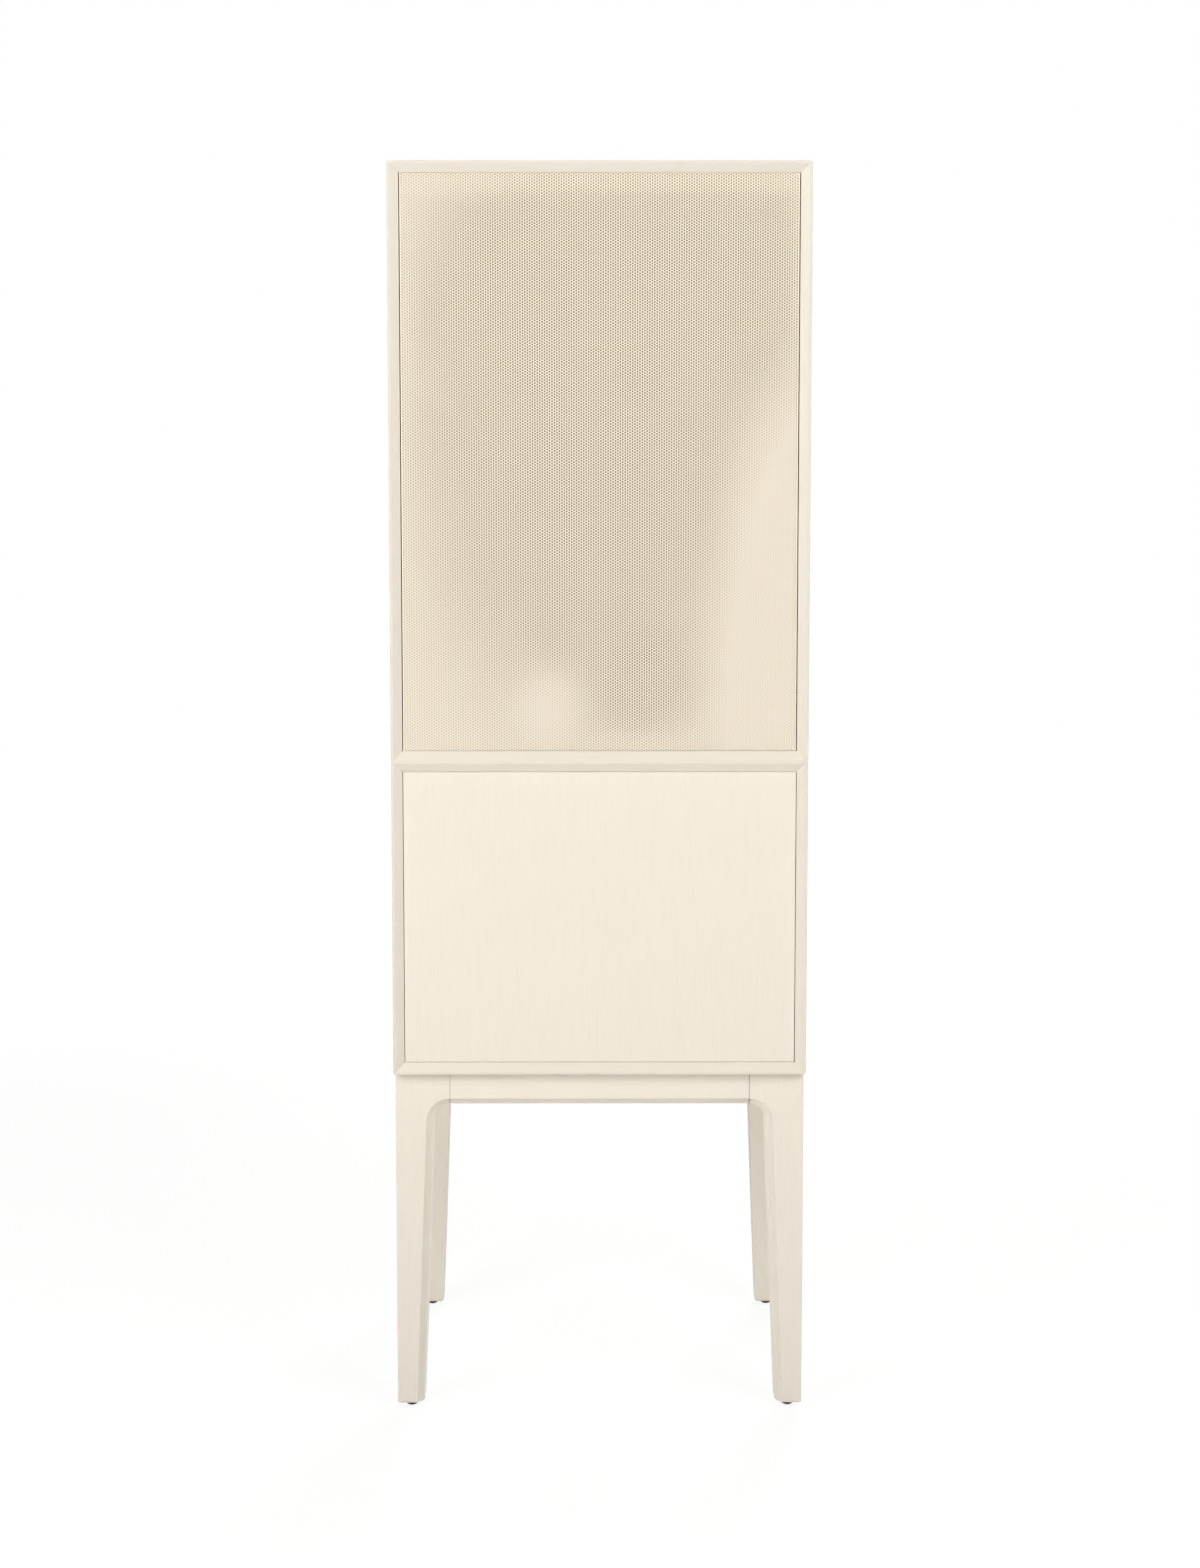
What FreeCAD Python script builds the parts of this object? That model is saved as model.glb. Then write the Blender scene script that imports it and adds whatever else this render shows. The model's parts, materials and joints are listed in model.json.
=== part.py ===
"""Storage cabinet on four tapered legs, with a perforated steel door above a plain wooden one.

Millimetres, +Z up. The origin is on the floor under the middle of the case, and the front faces -Y.
The case is mitred from 16 mm boards with bevelled front edges. It stands on a leg frame whose legs
taper on their two inner sides and carry a curved bracket and a cove each way.
"""
import FreeCAD
import Part
import Sketcher
import enum
import math
import os

SIZES = {
    # Case of boards
    "case_wide": 600.0,
    "case_deep": 450.0,
    "case_high": 1308.0,
    "board_thick": 16.0,
    "divider_thick": 30.0,
    "lower_open_high": 426.0,
    "edge_flat": 4.0,
    "edge_bevel_deep": 7.0,
    "divider_nose": 5.0,
    "corner_round": 3.0,
    "rebate_wide": 8.0,
    "rebate_deep": 8.0,
    "back_thick": 6.0,
    "back_gap": 0.3,
    # Leg frame
    "base_high": 507.0,
    "frame_front_inset": 13.0,
    "frame_side_inset": 2.0,
    "frame_rear_inset": 2.0,
    "leg_foot_wide": 38.8,
    "leg_top_wide": 58.2,
    "leg_foot_chamfer": 3.0,
    "ear_thick": 25.0,
    "bracket_radius": 23.7,
    "apron_high": 50.0,
    "apron_thick": 22.0,
    "apron_end_gap": 0.4,
    "cove_radius": 10.0,
    "glide_high": 8.0,
    "glide_radius": 9.0,
    "glide_round": 5.0,
    "glide_stem_radius": 4.0,
    "glide_stem_long": 20.0,
    "cleat_thick": 22.0,
    "cleat_end_gap": 30.0,
    # Dowels, screws and the small gap round them
    "dowel_radius": 4.0,
    "dowel_long": 30.0,
    "divider_dowel_in_side": 10.0,
    "divider_dowel_in_divider": 18.0,
    "divider_dowel_spacing": 240.0,
    "screw_radius": 2.0,
    "screw_long": 33.0,
    "screw_head_radius": 4.0,
    "screw_head_high": 2.4,
    "wood_gap": 0.05,
    "overrun": 5.0,
    # Shelves
    "shelf_thick": 18.0,
    "shelf_side_gap": 0.6,
    "shelf_front_gap": 14.0,
    "shelf_rear_gap": 1.0,
    "shelf_round": 2.0,
    "shelf_upper_low_above": 261.0,
    "shelf_upper_high_above": 540.0,
    "shelf_lower_above": 204.0,
    "shelf_pin_radius": 2.5,
    "shelf_pin_in": 8.0,
    "shelf_pin_out": 9.0,
    "shelf_pin_from_edge": 50.0,
    # Doors and their pivots
    "upper_door_side_gap": 1.4,
    "lower_door_side_gap": 0.9,
    "door_end_gap": 0.4,
    "door_thick": 18.0,
    "door_edge_round": 1.0,
    "sheet_thick": 1.0,
    "sheet_bend": 0.5,
    "channel_high": 18.0,
    "channel_gap": 0.2,
    "lining_thick": 0.8,
    "lining_gap": 0.4,
    "lining_glued_high": 30.0,
    "lining_belly": 7.0,
    "pivot_from_side": 16.0,
    "upper_pivot_behind_front": 6.5,
    "lower_pivot_behind_front": 5.0,
    "pivot_radius": 2.5,
    "pivot_in_door": 25.0,
    "pivot_in_bush": 8.0,
    "pivot_shoulder_radius": 3.8,
    "pivot_rest_gap": 0.15,
    "pivot_block_wide": 22.0,
    "bush_radius": 4.0,
    "bush_long": 9.0,
    "running_gap": 0.05,
    # Push latches
    "latch_from_side": 45.0,
    "latch_flange_wide": 32.0,
    "latch_flange_thick": 3.0,
    "latch_block_wide": 15.0,
    "latch_high": 15.0,
    "latch_long": 55.0,
    "latch_bore_long": 46.0,
    "plunger_radius": 3.5,
    "plunger_long": 48.0,
    "plunger_reach": 8.0,
    "plunger_cap_radius": 5.0,
    "plunger_cap_thick": 2.5,
    "plunger_rest_gap": 0.3,
    "strike_wide": 20.0,
    "strike_high": 12.0,
    "strike_thick": 1.2,
}

# Where the screws stand along the front and rear cleats, as shares of the cleat's length
CLEAT_SCREW_SHARES = (-0.4, 0.4)
SCREWED_SIDES = ("front", "rear")

UPRIGHT = FreeCAD.Vector(0, 0, 1)

doc = FreeCAD.newDocument("StorageCabinet")
sheet = doc.addObject("Spreadsheet::Sheet", "Sizes")
for row, (alias, number) in enumerate(SIZES.items(), start=1):
    sheet.set(f"A{row}", alias)
    sheet.set(f"B{row}", str(number))
    sheet.setAlias(f"B{row}", alias)
doc.recompute()


class Spot(enum.IntEnum):
    """The numbers by which a sketch knows the points of an edge."""

    START = 1
    END = 2
    CENTRE = 3


class Guide(enum.IntEnum):
    """The number of the level axis that every sketch has. It starts at the sketch's origin."""

    LEVEL_AXIS = -1


class Size:
    """A length or ratio, held with the sheet formula that gives it."""

    def __init__(self, value, formula):
        self.value = value
        self.formula = formula

    def __add__(self, other):
        other = as_size(other)
        return Size(self.value + other.value, f"({self.formula} + {other.formula})")

    def __sub__(self, other):
        other = as_size(other)
        return Size(self.value - other.value, f"({self.formula} - {other.formula})")

    def __mul__(self, other):
        other = as_size(other)
        return Size(self.value * other.value, f"({self.formula} * {other.formula})")

    def __truediv__(self, other):
        other = as_size(other)
        return Size(self.value / other.value, f"({self.formula} / {other.formula})")

    def __radd__(self, other):
        return as_size(other) + self

    def __rmul__(self, other):
        return as_size(other) * self

    def __neg__(self):
        return Size(-self.value, f"(-1 * {self.formula})")


def as_size(number):
    """Turn a plain ratio into a Size, and leave a Size as it is."""
    return number if isinstance(number, Size) else Size(float(number), f"({number})")


def root(size):
    """Square root of a Size."""
    return Size(math.sqrt(size.value), f"sqrt({size.formula})")


def sized(alias):
    """The Size that a sheet alias names."""
    return Size(float(sheet.get(alias)), f"Sizes.{alias}")


ZERO = as_size(0)

# Places worked out from the sheet
half_wide = sized("case_wide") / 2
half_deep = sized("case_deep") / 2
board = sized("board_thick")
inner_half = half_wide - board
case_low = sized("base_high")
case_top = case_low + sized("case_high")
lower_floor = case_low + board
divider_low = lower_floor + sized("lower_open_high")
divider_top = divider_low + sized("divider_thick")
divider_mid = divider_low + sized("divider_thick") / 2
upper_roof = case_top - board
corner_round = sized("corner_round")
corner_cut = corner_round - corner_round / root(as_size(2))
front = -half_deep
bevel_back = front + sized("edge_bevel_deep")
rebate_face = half_deep - sized("rebate_deep")
back_half_wide = inner_half + sized("rebate_wide") - sized("back_gap")
back_low = lower_floor - sized("rebate_wide") + sized("back_gap")
back_high = upper_roof + sized("rebate_wide") - sized("back_gap")

upper_door_half = inner_half - sized("upper_door_side_gap")
lower_door_half = inner_half - sized("lower_door_side_gap")
door_front = bevel_back
door_back = door_front + sized("door_thick")
upper_door_low = divider_top + sized("door_end_gap")
upper_door_high = upper_roof - sized("door_end_gap")
lower_door_low = lower_floor + sized("door_end_gap")
lower_door_high = divider_low - sized("door_end_gap")
pivot_x = sized("pivot_from_side") - inner_half
upper_pivot = (pivot_x, door_front + sized("upper_pivot_behind_front"))
lower_pivot = (pivot_x, door_front + sized("lower_pivot_behind_front"))

latch_x = inner_half - sized("latch_from_side")
plunger_tip = door_back + sized("strike_thick") + sized("plunger_rest_gap")
latch_front = plunger_tip + sized("plunger_reach")
latch_drop = (sized("latch_high") + sized("latch_flange_thick")) / 2

frame_front = front + sized("frame_front_inset")
frame_rear = half_deep - sized("frame_rear_inset")
frame_half = half_wide - sized("frame_side_inset")
frame_mid = (frame_front + frame_rear) / 2
apron_low = case_low - sized("apron_high")
leg_slope = (sized("leg_top_wide") - sized("leg_foot_wide")) / (case_low - sized("glide_high"))
leg_length = root(1 + leg_slope * leg_slope)
ear_reach = sized("bracket_radius") * (leg_length - leg_slope)
leg_wide_at_apron = sized("leg_foot_wide") + leg_slope * (apron_low - sized("glide_high"))
block_wide = leg_wide_at_apron + ear_reach

shelf_front = door_back + sized("shelf_front_gap")
shelf_rear = rebate_face - sized("shelf_rear_gap")
shelf_half = inner_half - sized("shelf_side_gap")
SHELF_FLOORS = {
    "upper_low": divider_top + sized("shelf_upper_low_above"),
    "upper_high": divider_top + sized("shelf_upper_high_above"),
    "lower": lower_floor + sized("shelf_lower_above"),
}
pin_rows = (shelf_front + sized("shelf_pin_from_edge"), shelf_rear - sized("shelf_pin_from_edge"))

dowel_hole_radius = sized("dowel_radius") + sized("wood_gap")
screw_hole_radius = sized("screw_radius") + sized("wood_gap")
pin_hole_radius = sized("pivot_radius") + sized("wood_gap")
bush_hole_radius = sized("bush_radius") + sized("wood_gap")
bush_hole_deep = sized("bush_long") + sized("wood_gap")

parts = []


def bind(feature, name, size):
    """Tie a property of a feature to the sheet."""
    feature.setExpression(name, size.formula)


def place(feature, x=ZERO, y=ZERO, z=ZERO, rotation=None):
    """Stand a sub-part at a bound place, turned by a fixed rotation."""
    feature.Placement = FreeCAD.Placement(FreeCAD.Vector(), rotation or FreeCAD.Rotation())
    for axis, size in zip("xyz", (x, y, z)):
        bind(feature, f"Placement.Base.{axis}", size)


def new_body(name):
    """A named sub-part built from sketches."""
    body = doc.addObject("PartDesign::Body", name)
    body.Label = name
    parts.append(body)
    return body


def sketch_on(body, role, lift=ZERO):
    """A sketch on one of the body's own origin planes, lifted along its normal."""
    plane = next(item for item in body.Origin.OriginFeatures if item.Role == role)
    sketch = body.newObject("Sketcher::SketchObject", "Sketch")
    sketch.AttachmentSupport = [(plane, "")]
    sketch.MapMode = "FlatFace"
    bind(sketch, "AttachmentOffset.Base.z", lift)
    return sketch


def point(spot):
    """The sketch point that a pair of Sizes gives now."""
    return FreeCAD.Vector(spot[0].value, spot[1].value, 0)


def hold(sketch, edge, end, spot):
    """Fix one end of an edge at a pair of Sizes."""
    for kind, size in zip(("DistanceX", "DistanceY"), spot):
        rule = Sketcher.Constraint(kind, Guide.LEVEL_AXIS, Spot.START, edge, end, size.value)
        index = sketch.addConstraint(rule)
        sketch.setExpression(f"Constraints[{index}]", size.formula)


def hold_radius(sketch, edge, radius):
    """Fix the radius of an arc or circle."""
    index = sketch.addConstraint(Sketcher.Constraint("Radius", edge, radius.value))
    sketch.setExpression(f"Constraints[{index}]", radius.formula)


def draw_arc(sketch, spot_from, spot_to, centre, radius):
    """Add the shorter arc between two spots and return its ends in drawing order."""
    middle = point(centre)
    angles = []
    for spot in (spot_from, spot_to):
        arm = point(spot) - middle
        angles.append(math.atan2(arm.y, arm.x))
    turn = (angles[1] - angles[0]) % math.tau
    forward = turn < math.pi
    first = angles[0] if forward else angles[1]
    sweep = turn if forward else math.tau - turn
    circle = Part.Circle(middle, UPRIGHT, radius.value)
    edge = sketch.addGeometry(Part.ArcOfCircle(circle, first, first + sweep))
    hold_radius(sketch, edge, radius)
    return (Spot.START, Spot.END) if forward else (Spot.END, Spot.START)


def draw(sketch, spots, arcs=None, closed=True):
    """Draw a path through spots. arcs maps an edge's number to its arc's centre and radius."""
    arcs = arcs or {}
    edges = len(spots) if closed else len(spots) - 1
    ends = []
    for edge in range(edges):
        spot_from = spots[edge]
        spot_to = spots[(edge + 1) % len(spots)]
        if edge in arcs:
            ends.append(draw_arc(sketch, spot_from, spot_to, *arcs[edge]))
        else:
            sketch.addGeometry(Part.LineSegment(point(spot_from), point(spot_to)))
            ends.append((Spot.START, Spot.END))
    joints = edges if closed else edges - 1
    for edge in range(joints):
        after = (edge + 1) % edges
        leaves, arrives = ends[edge][-1], ends[after][0]
        sketch.addConstraint(Sketcher.Constraint("Coincident", edge, leaves, after, arrives))
    for edge in range(edges):
        hold(sketch, edge, ends[edge][0], spots[edge])
    if not closed:
        hold(sketch, edges - 1, ends[-1][-1], spots[-1])


def draw_rectangle(sketch, x_low, y_low, x_high, y_high):
    """Draw a rectangle between two corners."""
    draw(sketch, [(x_low, y_low), (x_high, y_low), (x_high, y_high), (x_low, y_high)])


def draw_circles(sketch, centres, radius):
    """Draw equal circles about a list of spots."""
    for centre in centres:
        circle = Part.Circle(point(centre), UPRIGHT, radius.value)
        edge = sketch.addGeometry(circle)
        hold(sketch, edge, Spot.CENTRE, centre)
        hold_radius(sketch, edge, radius)


def pad(body, sketch, length, side="One side", reverse=False):
    """Raise a sketch into a solid."""
    feature = body.newObject("PartDesign::Pad", "Pad")
    feature.Profile = sketch
    feature.SideType = side
    feature.Reversed = reverse
    bind(feature, "Length", length)
    return feature


def pocket(body, sketch, depth=None, side="One side", reverse=False):
    """Cut a sketch into the body, right through it where no depth is given."""
    feature = body.newObject("PartDesign::Pocket", "Pocket")
    feature.Profile = sketch
    feature.SideType = side
    feature.Reversed = reverse
    if depth is None:
        feature.Type = "ThroughAll"
    else:
        bind(feature, "Length", depth)
    return feature


def revolve(body, sketch):
    """Turn a half section about the sketch's upright axis."""
    feature = body.newObject("PartDesign::Revolution", "Revolution")
    feature.Profile = sketch
    feature.ReferenceAxis = (sketch, ["V_Axis"])
    feature.Angle = 360
    return feature


def drill(body, role, lift, centres, radius, depth, reverse=False):
    """Drill equal holes from a plane into the body."""
    sketch = sketch_on(body, role, lift)
    draw_circles(sketch, centres, radius)
    return pocket(body, sketch, depth, reverse=reverse)


def cylinder(radius, length, x, y, z, towards):
    """A round bar that starts at a place and points along a direction."""
    bar = doc.addObject("Part::Cylinder", "Bar")
    bind(bar, "Radius", radius)
    bind(bar, "Height", length)
    place(bar, x, y, z, FreeCAD.Rotation(UPRIGHT, FreeCAD.Vector(*towards)))
    return bar


def upward_screw(x, y, z):
    """A screw that points up, with the top of its head at a place."""
    head_high = sized("screw_head_high")
    upward = (0, 0, 1)
    head = cylinder(sized("screw_head_radius"), head_high, x, y, z - head_high, upward)
    shank = cylinder(sized("screw_radius"), sized("screw_long"), x, y, z, upward)
    whole = doc.addObject("Part::Fuse", "Screw")
    whole.Base = head
    whole.Tool = shank
    return whole


def group(name, pieces):
    """One named sub-part of several like pieces."""
    bundle = doc.addObject("Part::Compound", name)
    bundle.Label = name
    bundle.Links = pieces
    parts.append(bundle)
    return bundle


def sides():
    """The four sides of the leg frame: name, quarter turns, middle of the outer face, length."""
    taken = block_wide + sized("apron_end_gap")
    long_run = (frame_half - taken) * 2
    short_run = frame_rear - frame_front - taken * 2
    runs = (
        ("front", ZERO, frame_front, long_run),
        ("right", frame_half, frame_mid, short_run),
        ("rear", ZERO, frame_rear, long_run),
        ("left", -frame_half, frame_mid, short_run),
    )
    return [(name, turns, *rest) for turns, (name, *rest) in enumerate(runs)]


def quarter_turned(turns, along, inward):
    """Turn a pair about the upright axis by quarter turns."""
    return ((along, inward), (-inward, along), (-along, -inward), (inward, -along))[turns]


def turned(turns):
    """The rotation of so many quarter turns about the upright axis."""
    return FreeCAD.Rotation(UPRIGHT, 90 * turns)


def shelf_pin_height(floor):
    """Axis height of the pins that carry a shelf."""
    return floor - sized("shelf_pin_radius") - sized("wood_gap")


def make_side_panel(name, hand):
    """Upright board, mitred at both ends, with a bevel in front, a rebate behind and pin holes.

    The sharp outer corners of the case are rounded, and each mitre meets the middle of its round.
    """
    body = new_body(name)
    outer = half_wide * hand
    inner = inner_half * hand
    round_middle = outer - corner_round * hand
    mitre = outer - corner_cut * hand
    outline = sketch_on(body, "XZ_Plane")
    draw(outline, [
        (outer, case_low + corner_round),
        (outer, case_top - corner_round),
        (mitre, case_top - corner_cut),
        (inner, upper_roof),
        (inner, lower_floor),
        (mitre, case_low + corner_cut),
    ], arcs={
        1: ((round_middle, case_top - corner_round), corner_round),
        5: ((round_middle, case_low + corner_round), corner_round),
    })
    pad(body, outline, sized("case_deep"), side="Symmetric")
    flat = (half_wide - sized("edge_flat")) * hand
    bevel = sketch_on(body, "XY_Plane")
    draw(bevel, [(flat, front), (inner, front), (inner, bevel_back)])
    pocket(body, bevel, reverse=True)
    shoulder = (inner_half + sized("rebate_wide")) * hand
    rebate = sketch_on(body, "XY_Plane")
    draw_rectangle(rebate, inner, rebate_face, shoulder, half_deep)
    pocket(body, rebate, reverse=True)
    holes = []
    for floor in SHELF_FLOORS.values():
        for row in pin_rows:
            holes.append((row, shelf_pin_height(floor)))
    into_right = hand > 0
    drill(body, "YZ_Plane", inner, holes, sized("shelf_pin_radius") + sized("wood_gap"),
          sized("shelf_pin_in") + sized("wood_gap"), reverse=into_right)
    dowels = [(spot, divider_mid) for spot in divider_dowel_rows()]
    drill(body, "YZ_Plane", inner, dowels, dowel_hole_radius,
          sized("divider_dowel_in_side") + sized("wood_gap"), reverse=into_right)
    return body


def divider_dowel_rows():
    """Places of the divider's dowels from front to back."""
    return [sized("divider_dowel_spacing") / 2 * hand for hand in (-1, 1)]


def make_cross_panel(name, outer, inner, hand, pivot):
    """Level board, mitred at both ends to the side panels. hand is 1 for the top, -1 for the bottom."""
    body = new_body(name)
    round_middle = outer - corner_round * hand
    mitre = outer - corner_cut * hand
    outline = sketch_on(body, "XZ_Plane")
    draw(outline, [
        (corner_round - half_wide, outer),
        (half_wide - corner_round, outer),
        (half_wide - corner_cut, mitre),
        (inner_half, inner),
        (-inner_half, inner),
        (corner_cut - half_wide, mitre),
    ], arcs={
        1: ((half_wide - corner_round, round_middle), corner_round),
        5: ((corner_round - half_wide, round_middle), corner_round),
    })
    pad(body, outline, sized("case_deep"), side="Symmetric")
    flat = outer - sized("edge_flat") * hand
    bevel = sketch_on(body, "YZ_Plane")
    draw(bevel, [(front, flat), (front, inner), (bevel_back, inner)])
    pocket(body, bevel, side="Symmetric")
    rebate = sketch_on(body, "YZ_Plane")
    shoulder = inner + sized("rebate_wide") * hand
    draw_rectangle(rebate, rebate_face, inner, half_deep, shoulder)
    pocket(body, rebate, side="Symmetric")
    drill(body, "XY_Plane", inner, [pivot], bush_hole_radius, bush_hole_deep, reverse=hand > 0)
    return body


def make_divider():
    """Board between the compartments: its nose runs to a mitre in each side panel's bevel."""
    body = new_body("mid_divider")
    low_nose = divider_mid - sized("divider_nose") / 2
    high_nose = divider_mid + sized("divider_nose") / 2
    section = sketch_on(body, "YZ_Plane")
    draw(section, [
        (front, low_nose),
        (bevel_back, divider_low),
        (rebate_face, divider_low),
        (rebate_face, divider_top),
        (bevel_back, divider_top),
        (front, high_nose),
    ])
    tip = half_wide - sized("edge_flat")
    pad(body, section, tip * 2, side="Symmetric")
    for hand in (-1, 1):
        beyond = (half_wide + sized("overrun")) * hand
        waste = sketch_on(body, "XY_Plane")
        draw(waste, [
            (tip * hand, front),
            (inner_half * hand, bevel_back),
            (inner_half * hand, half_deep),
            (beyond, half_deep),
            (beyond, front),
        ])
        pocket(body, waste, reverse=True)
        ends = [(spot, divider_mid) for spot in divider_dowel_rows()]
        drill(body, "YZ_Plane", inner_half * hand, ends, dowel_hole_radius,
              sized("divider_dowel_in_divider") + sized("wood_gap"), reverse=hand < 0)
    drill(body, "XY_Plane", divider_top, [upper_pivot], bush_hole_radius, bush_hole_deep)
    drill(body, "XY_Plane", divider_low, [lower_pivot], bush_hole_radius, bush_hole_deep, reverse=True)
    return body


def make_back():
    """Thin board in the rear rebate."""
    body = new_body("back_panel")
    outline = sketch_on(body, "XZ_Plane", -rebate_face)
    draw_rectangle(outline, -back_half_wide, back_low, back_half_wide, back_high)
    pad(body, outline, sized("back_thick"), reverse=True)


def make_shelf(name, floor):
    """Loose shelf with a rounded front edge, and the four pins that it rests on."""
    body = new_body("shelf_" + name)
    top = floor + sized("shelf_thick")
    round_size = sized("shelf_round")
    behind = shelf_front + round_size
    section = sketch_on(body, "YZ_Plane")
    draw(section, [
        (behind, floor),
        (shelf_rear, floor),
        (shelf_rear, top),
        (behind, top),
        (shelf_front, top - round_size),
        (shelf_front, floor + round_size),
    ], arcs={
        3: ((behind, top - round_size), round_size),
        5: ((behind, floor + round_size), round_size),
    })
    pad(body, section, shelf_half * 2, side="Symmetric")
    pins = []
    for hand in (-1, 1):
        start = (inner_half + sized("shelf_pin_in")) * hand
        for row in pin_rows:
            pins.append(cylinder(sized("shelf_pin_radius"), sized("shelf_pin_in") + sized("shelf_pin_out"),
                                 start, row, shelf_pin_height(floor), (-hand, 0, 0)))
    group(f"shelf_{name}_pins", pins)


def make_bush(name, pivot, face, up):
    """Plain bush let into a board, round a pivot pin."""
    body = new_body(name)
    bore = sized("pivot_radius") + sized("running_gap")
    section = sketch_on(body, "XZ_Plane")
    draw_rectangle(section, bore, ZERO, sized("bush_radius"), sized("bush_long"))
    revolve(body, section)
    place(body, *pivot, face, facing(up))


def facing(up):
    """No turn for a piece that points up, half a turn for one that points down."""
    return FreeCAD.Rotation(FreeCAD.Vector(1, 0, 0), 0 if up else 180)


def make_pivot_pin(name, pivot, door_end, up):
    """Pin that sticks out of a door's end into a bush, with a shoulder that spaces the door."""
    body = new_body(name)
    pin = sized("pivot_radius")
    shoulder = sized("pivot_shoulder_radius")
    shoulder_high = sized("door_end_gap") - sized("pivot_rest_gap")
    tip = sized("door_end_gap") + sized("pivot_in_bush")
    tail = -sized("pivot_in_door")
    section = sketch_on(body, "XZ_Plane")
    draw(section, [
        (ZERO, tail),
        (pin, tail),
        (pin, ZERO),
        (shoulder, ZERO),
        (shoulder, shoulder_high),
        (pin, shoulder_high),
        (pin, tip),
        (ZERO, tip),
    ])
    revolve(body, section)
    place(body, *pivot, door_end, facing(up))


def make_leg(name, x, y, turns):
    """Leg with its outer corner on its own Z axis, alike on its two outer faces.

    The two inner sides taper to the foot. A bracket reaches out each way to the aprons, and a cove
    follows the inner edge of each outer face, up the taper, round the bracket and out along the apron.
    """
    body = new_body(name)
    foot = sized("glide_high")
    start = ZERO - sized("overrun")
    start_wide = sized("leg_foot_wide") + leg_slope * (start - foot)
    radius = sized("bracket_radius")
    centre = (block_wide, apron_low - radius)
    tangent = (block_wide - radius / leg_length, apron_low - radius + radius * leg_slope / leg_length)

    foot_wide = sized("leg_foot_wide")
    top_wide = sized("leg_top_wide")
    beyond = top_wide + sized("overrun")
    taper = sketch_on(body, "XZ_Plane")
    draw(taper, [(ZERO, foot), (foot_wide, foot), (top_wide, case_low), (ZERO, case_low)])
    pad(body, taper, top_wide, reverse=True)
    waste = sketch_on(body, "YZ_Plane")
    draw(waste, [(foot_wide, foot), (top_wide, case_low), (beyond, case_low), (beyond, foot)])
    post = pocket(body, waste, reverse=True)
    doc.recompute()
    rim = []
    for number, edge in enumerate(post.Shape.Edges, start=1):
        if all(abs(vertex.Z - foot.value) < sized("wood_gap").value for vertex in edge.Vertexes):
            rim.append(f"Edge{number}")
    chamfer = body.newObject("PartDesign::Chamfer", "FootChamfer")
    chamfer.Base = (post, rim)
    bind(chamfer, "Size", sized("leg_foot_chamfer"))

    for plane in ("XZ_Plane", "YZ_Plane"):
        ear = sketch_on(body, plane)
        draw(ear, [tangent, (block_wide, apron_low), (block_wide, case_low), (ZERO, case_low),
                   (ZERO, tangent[1])], arcs={0: (centre, radius)})
        pad(body, ear, sized("ear_thick"), reverse=plane == "XZ_Plane")

    for plane in ("XZ_Plane", "YZ_Plane"):
        path = sketch_on(body, plane)
        draw(path, [(start_wide, start), tangent, (block_wide, apron_low),
                    (block_wide + sized("overrun"), apron_low)], arcs={1: (centre, radius)}, closed=False)
        ring = sketch_on(body, "XY_Plane", start)
        ring_centre = (start_wide, ZERO) if plane == "XZ_Plane" else (ZERO, start_wide)
        draw_circles(ring, [ring_centre], sized("cove_radius"))
        cove = body.newObject("PartDesign::SubtractivePipe", "Cove")
        cove.Profile = ring
        cove.Spine = (path, ["Edge1", "Edge2", "Edge3"])

    glide_spot = [(sized("leg_foot_wide") / 2, sized("leg_foot_wide") / 2)]
    drill(body, "XY_Plane", foot, glide_spot, sized("glide_stem_radius") + sized("wood_gap"),
          sized("glide_stem_long") + sized("wood_gap"), reverse=True)
    half_dowel = sized("dowel_long") / 2 + sized("wood_gap")
    drill(body, "YZ_Plane", block_wide, [apron_dowel_spot()], dowel_hole_radius, half_dowel)
    drill(body, "XZ_Plane", -block_wide, [apron_dowel_spot()], dowel_hole_radius, half_dowel, reverse=True)
    place(body, x, y, ZERO, turned(turns))


def apron_dowel_spot():
    """Place of the dowel on an apron's end: distance from the outer face, and height."""
    return (sized("apron_thick") / 2, case_low - (sized("apron_high") - sized("cove_radius")) / 2)


def make_apron(side, turns, x, y, length):
    """Rail between two legs, flush with their outer faces, with the cove along its lower edge."""
    body = new_body("apron_" + side)
    cove = sized("cove_radius")
    thick = sized("apron_thick")
    section = sketch_on(body, "YZ_Plane")
    draw(section, [
        (ZERO, case_low),
        (ZERO, apron_low + cove),
        (cove, apron_low),
        (thick, apron_low),
        (thick, case_low),
    ], arcs={1: ((ZERO, apron_low), cove)})
    pad(body, section, length, side="Symmetric")
    half_dowel = sized("dowel_long") / 2 + sized("wood_gap")
    for hand in (-1, 1):
        drill(body, "YZ_Plane", length / 2 * hand, [apron_dowel_spot()], dowel_hole_radius, half_dowel,
              reverse=hand < 0)
    place(body, x, y, ZERO, turned(turns))


def cleat_length(length):
    """Length of the cleat inside an apron."""
    return length - sized("cleat_end_gap") * 2


def make_cleat(side, turns, x, y, length):
    """Square bar glued inside an apron. The front and rear ones take the screws up into the case."""
    body = new_body("cleat_" + side)
    thick = sized("cleat_thick")
    inner = sized("apron_thick")
    section = sketch_on(body, "YZ_Plane")
    draw_rectangle(section, inner, case_low - thick, inner + thick, case_low)
    pad(body, section, cleat_length(length), side="Symmetric")
    if side in SCREWED_SIDES:
        spots = [(cleat_length(length) * share, inner + thick / 2) for share in CLEAT_SCREW_SHARES]
        drill(body, "XY_Plane", case_low, spots, screw_hole_radius, thick + sized("wood_gap"))
    place(body, x, y, ZERO, turned(turns))


def case_screw_spots():
    """Places under the case of the screws that go up through the cleats."""
    spots = []
    inward = sized("apron_thick") + sized("cleat_thick") / 2
    for side, turns, x, y, length in sides():
        if side in SCREWED_SIDES:
            for share in CLEAT_SCREW_SHARES:
                shift = quarter_turned(turns, cleat_length(length) * share, inward)
                spots.append((x + shift[0], y + shift[1]))
    return spots


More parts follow.
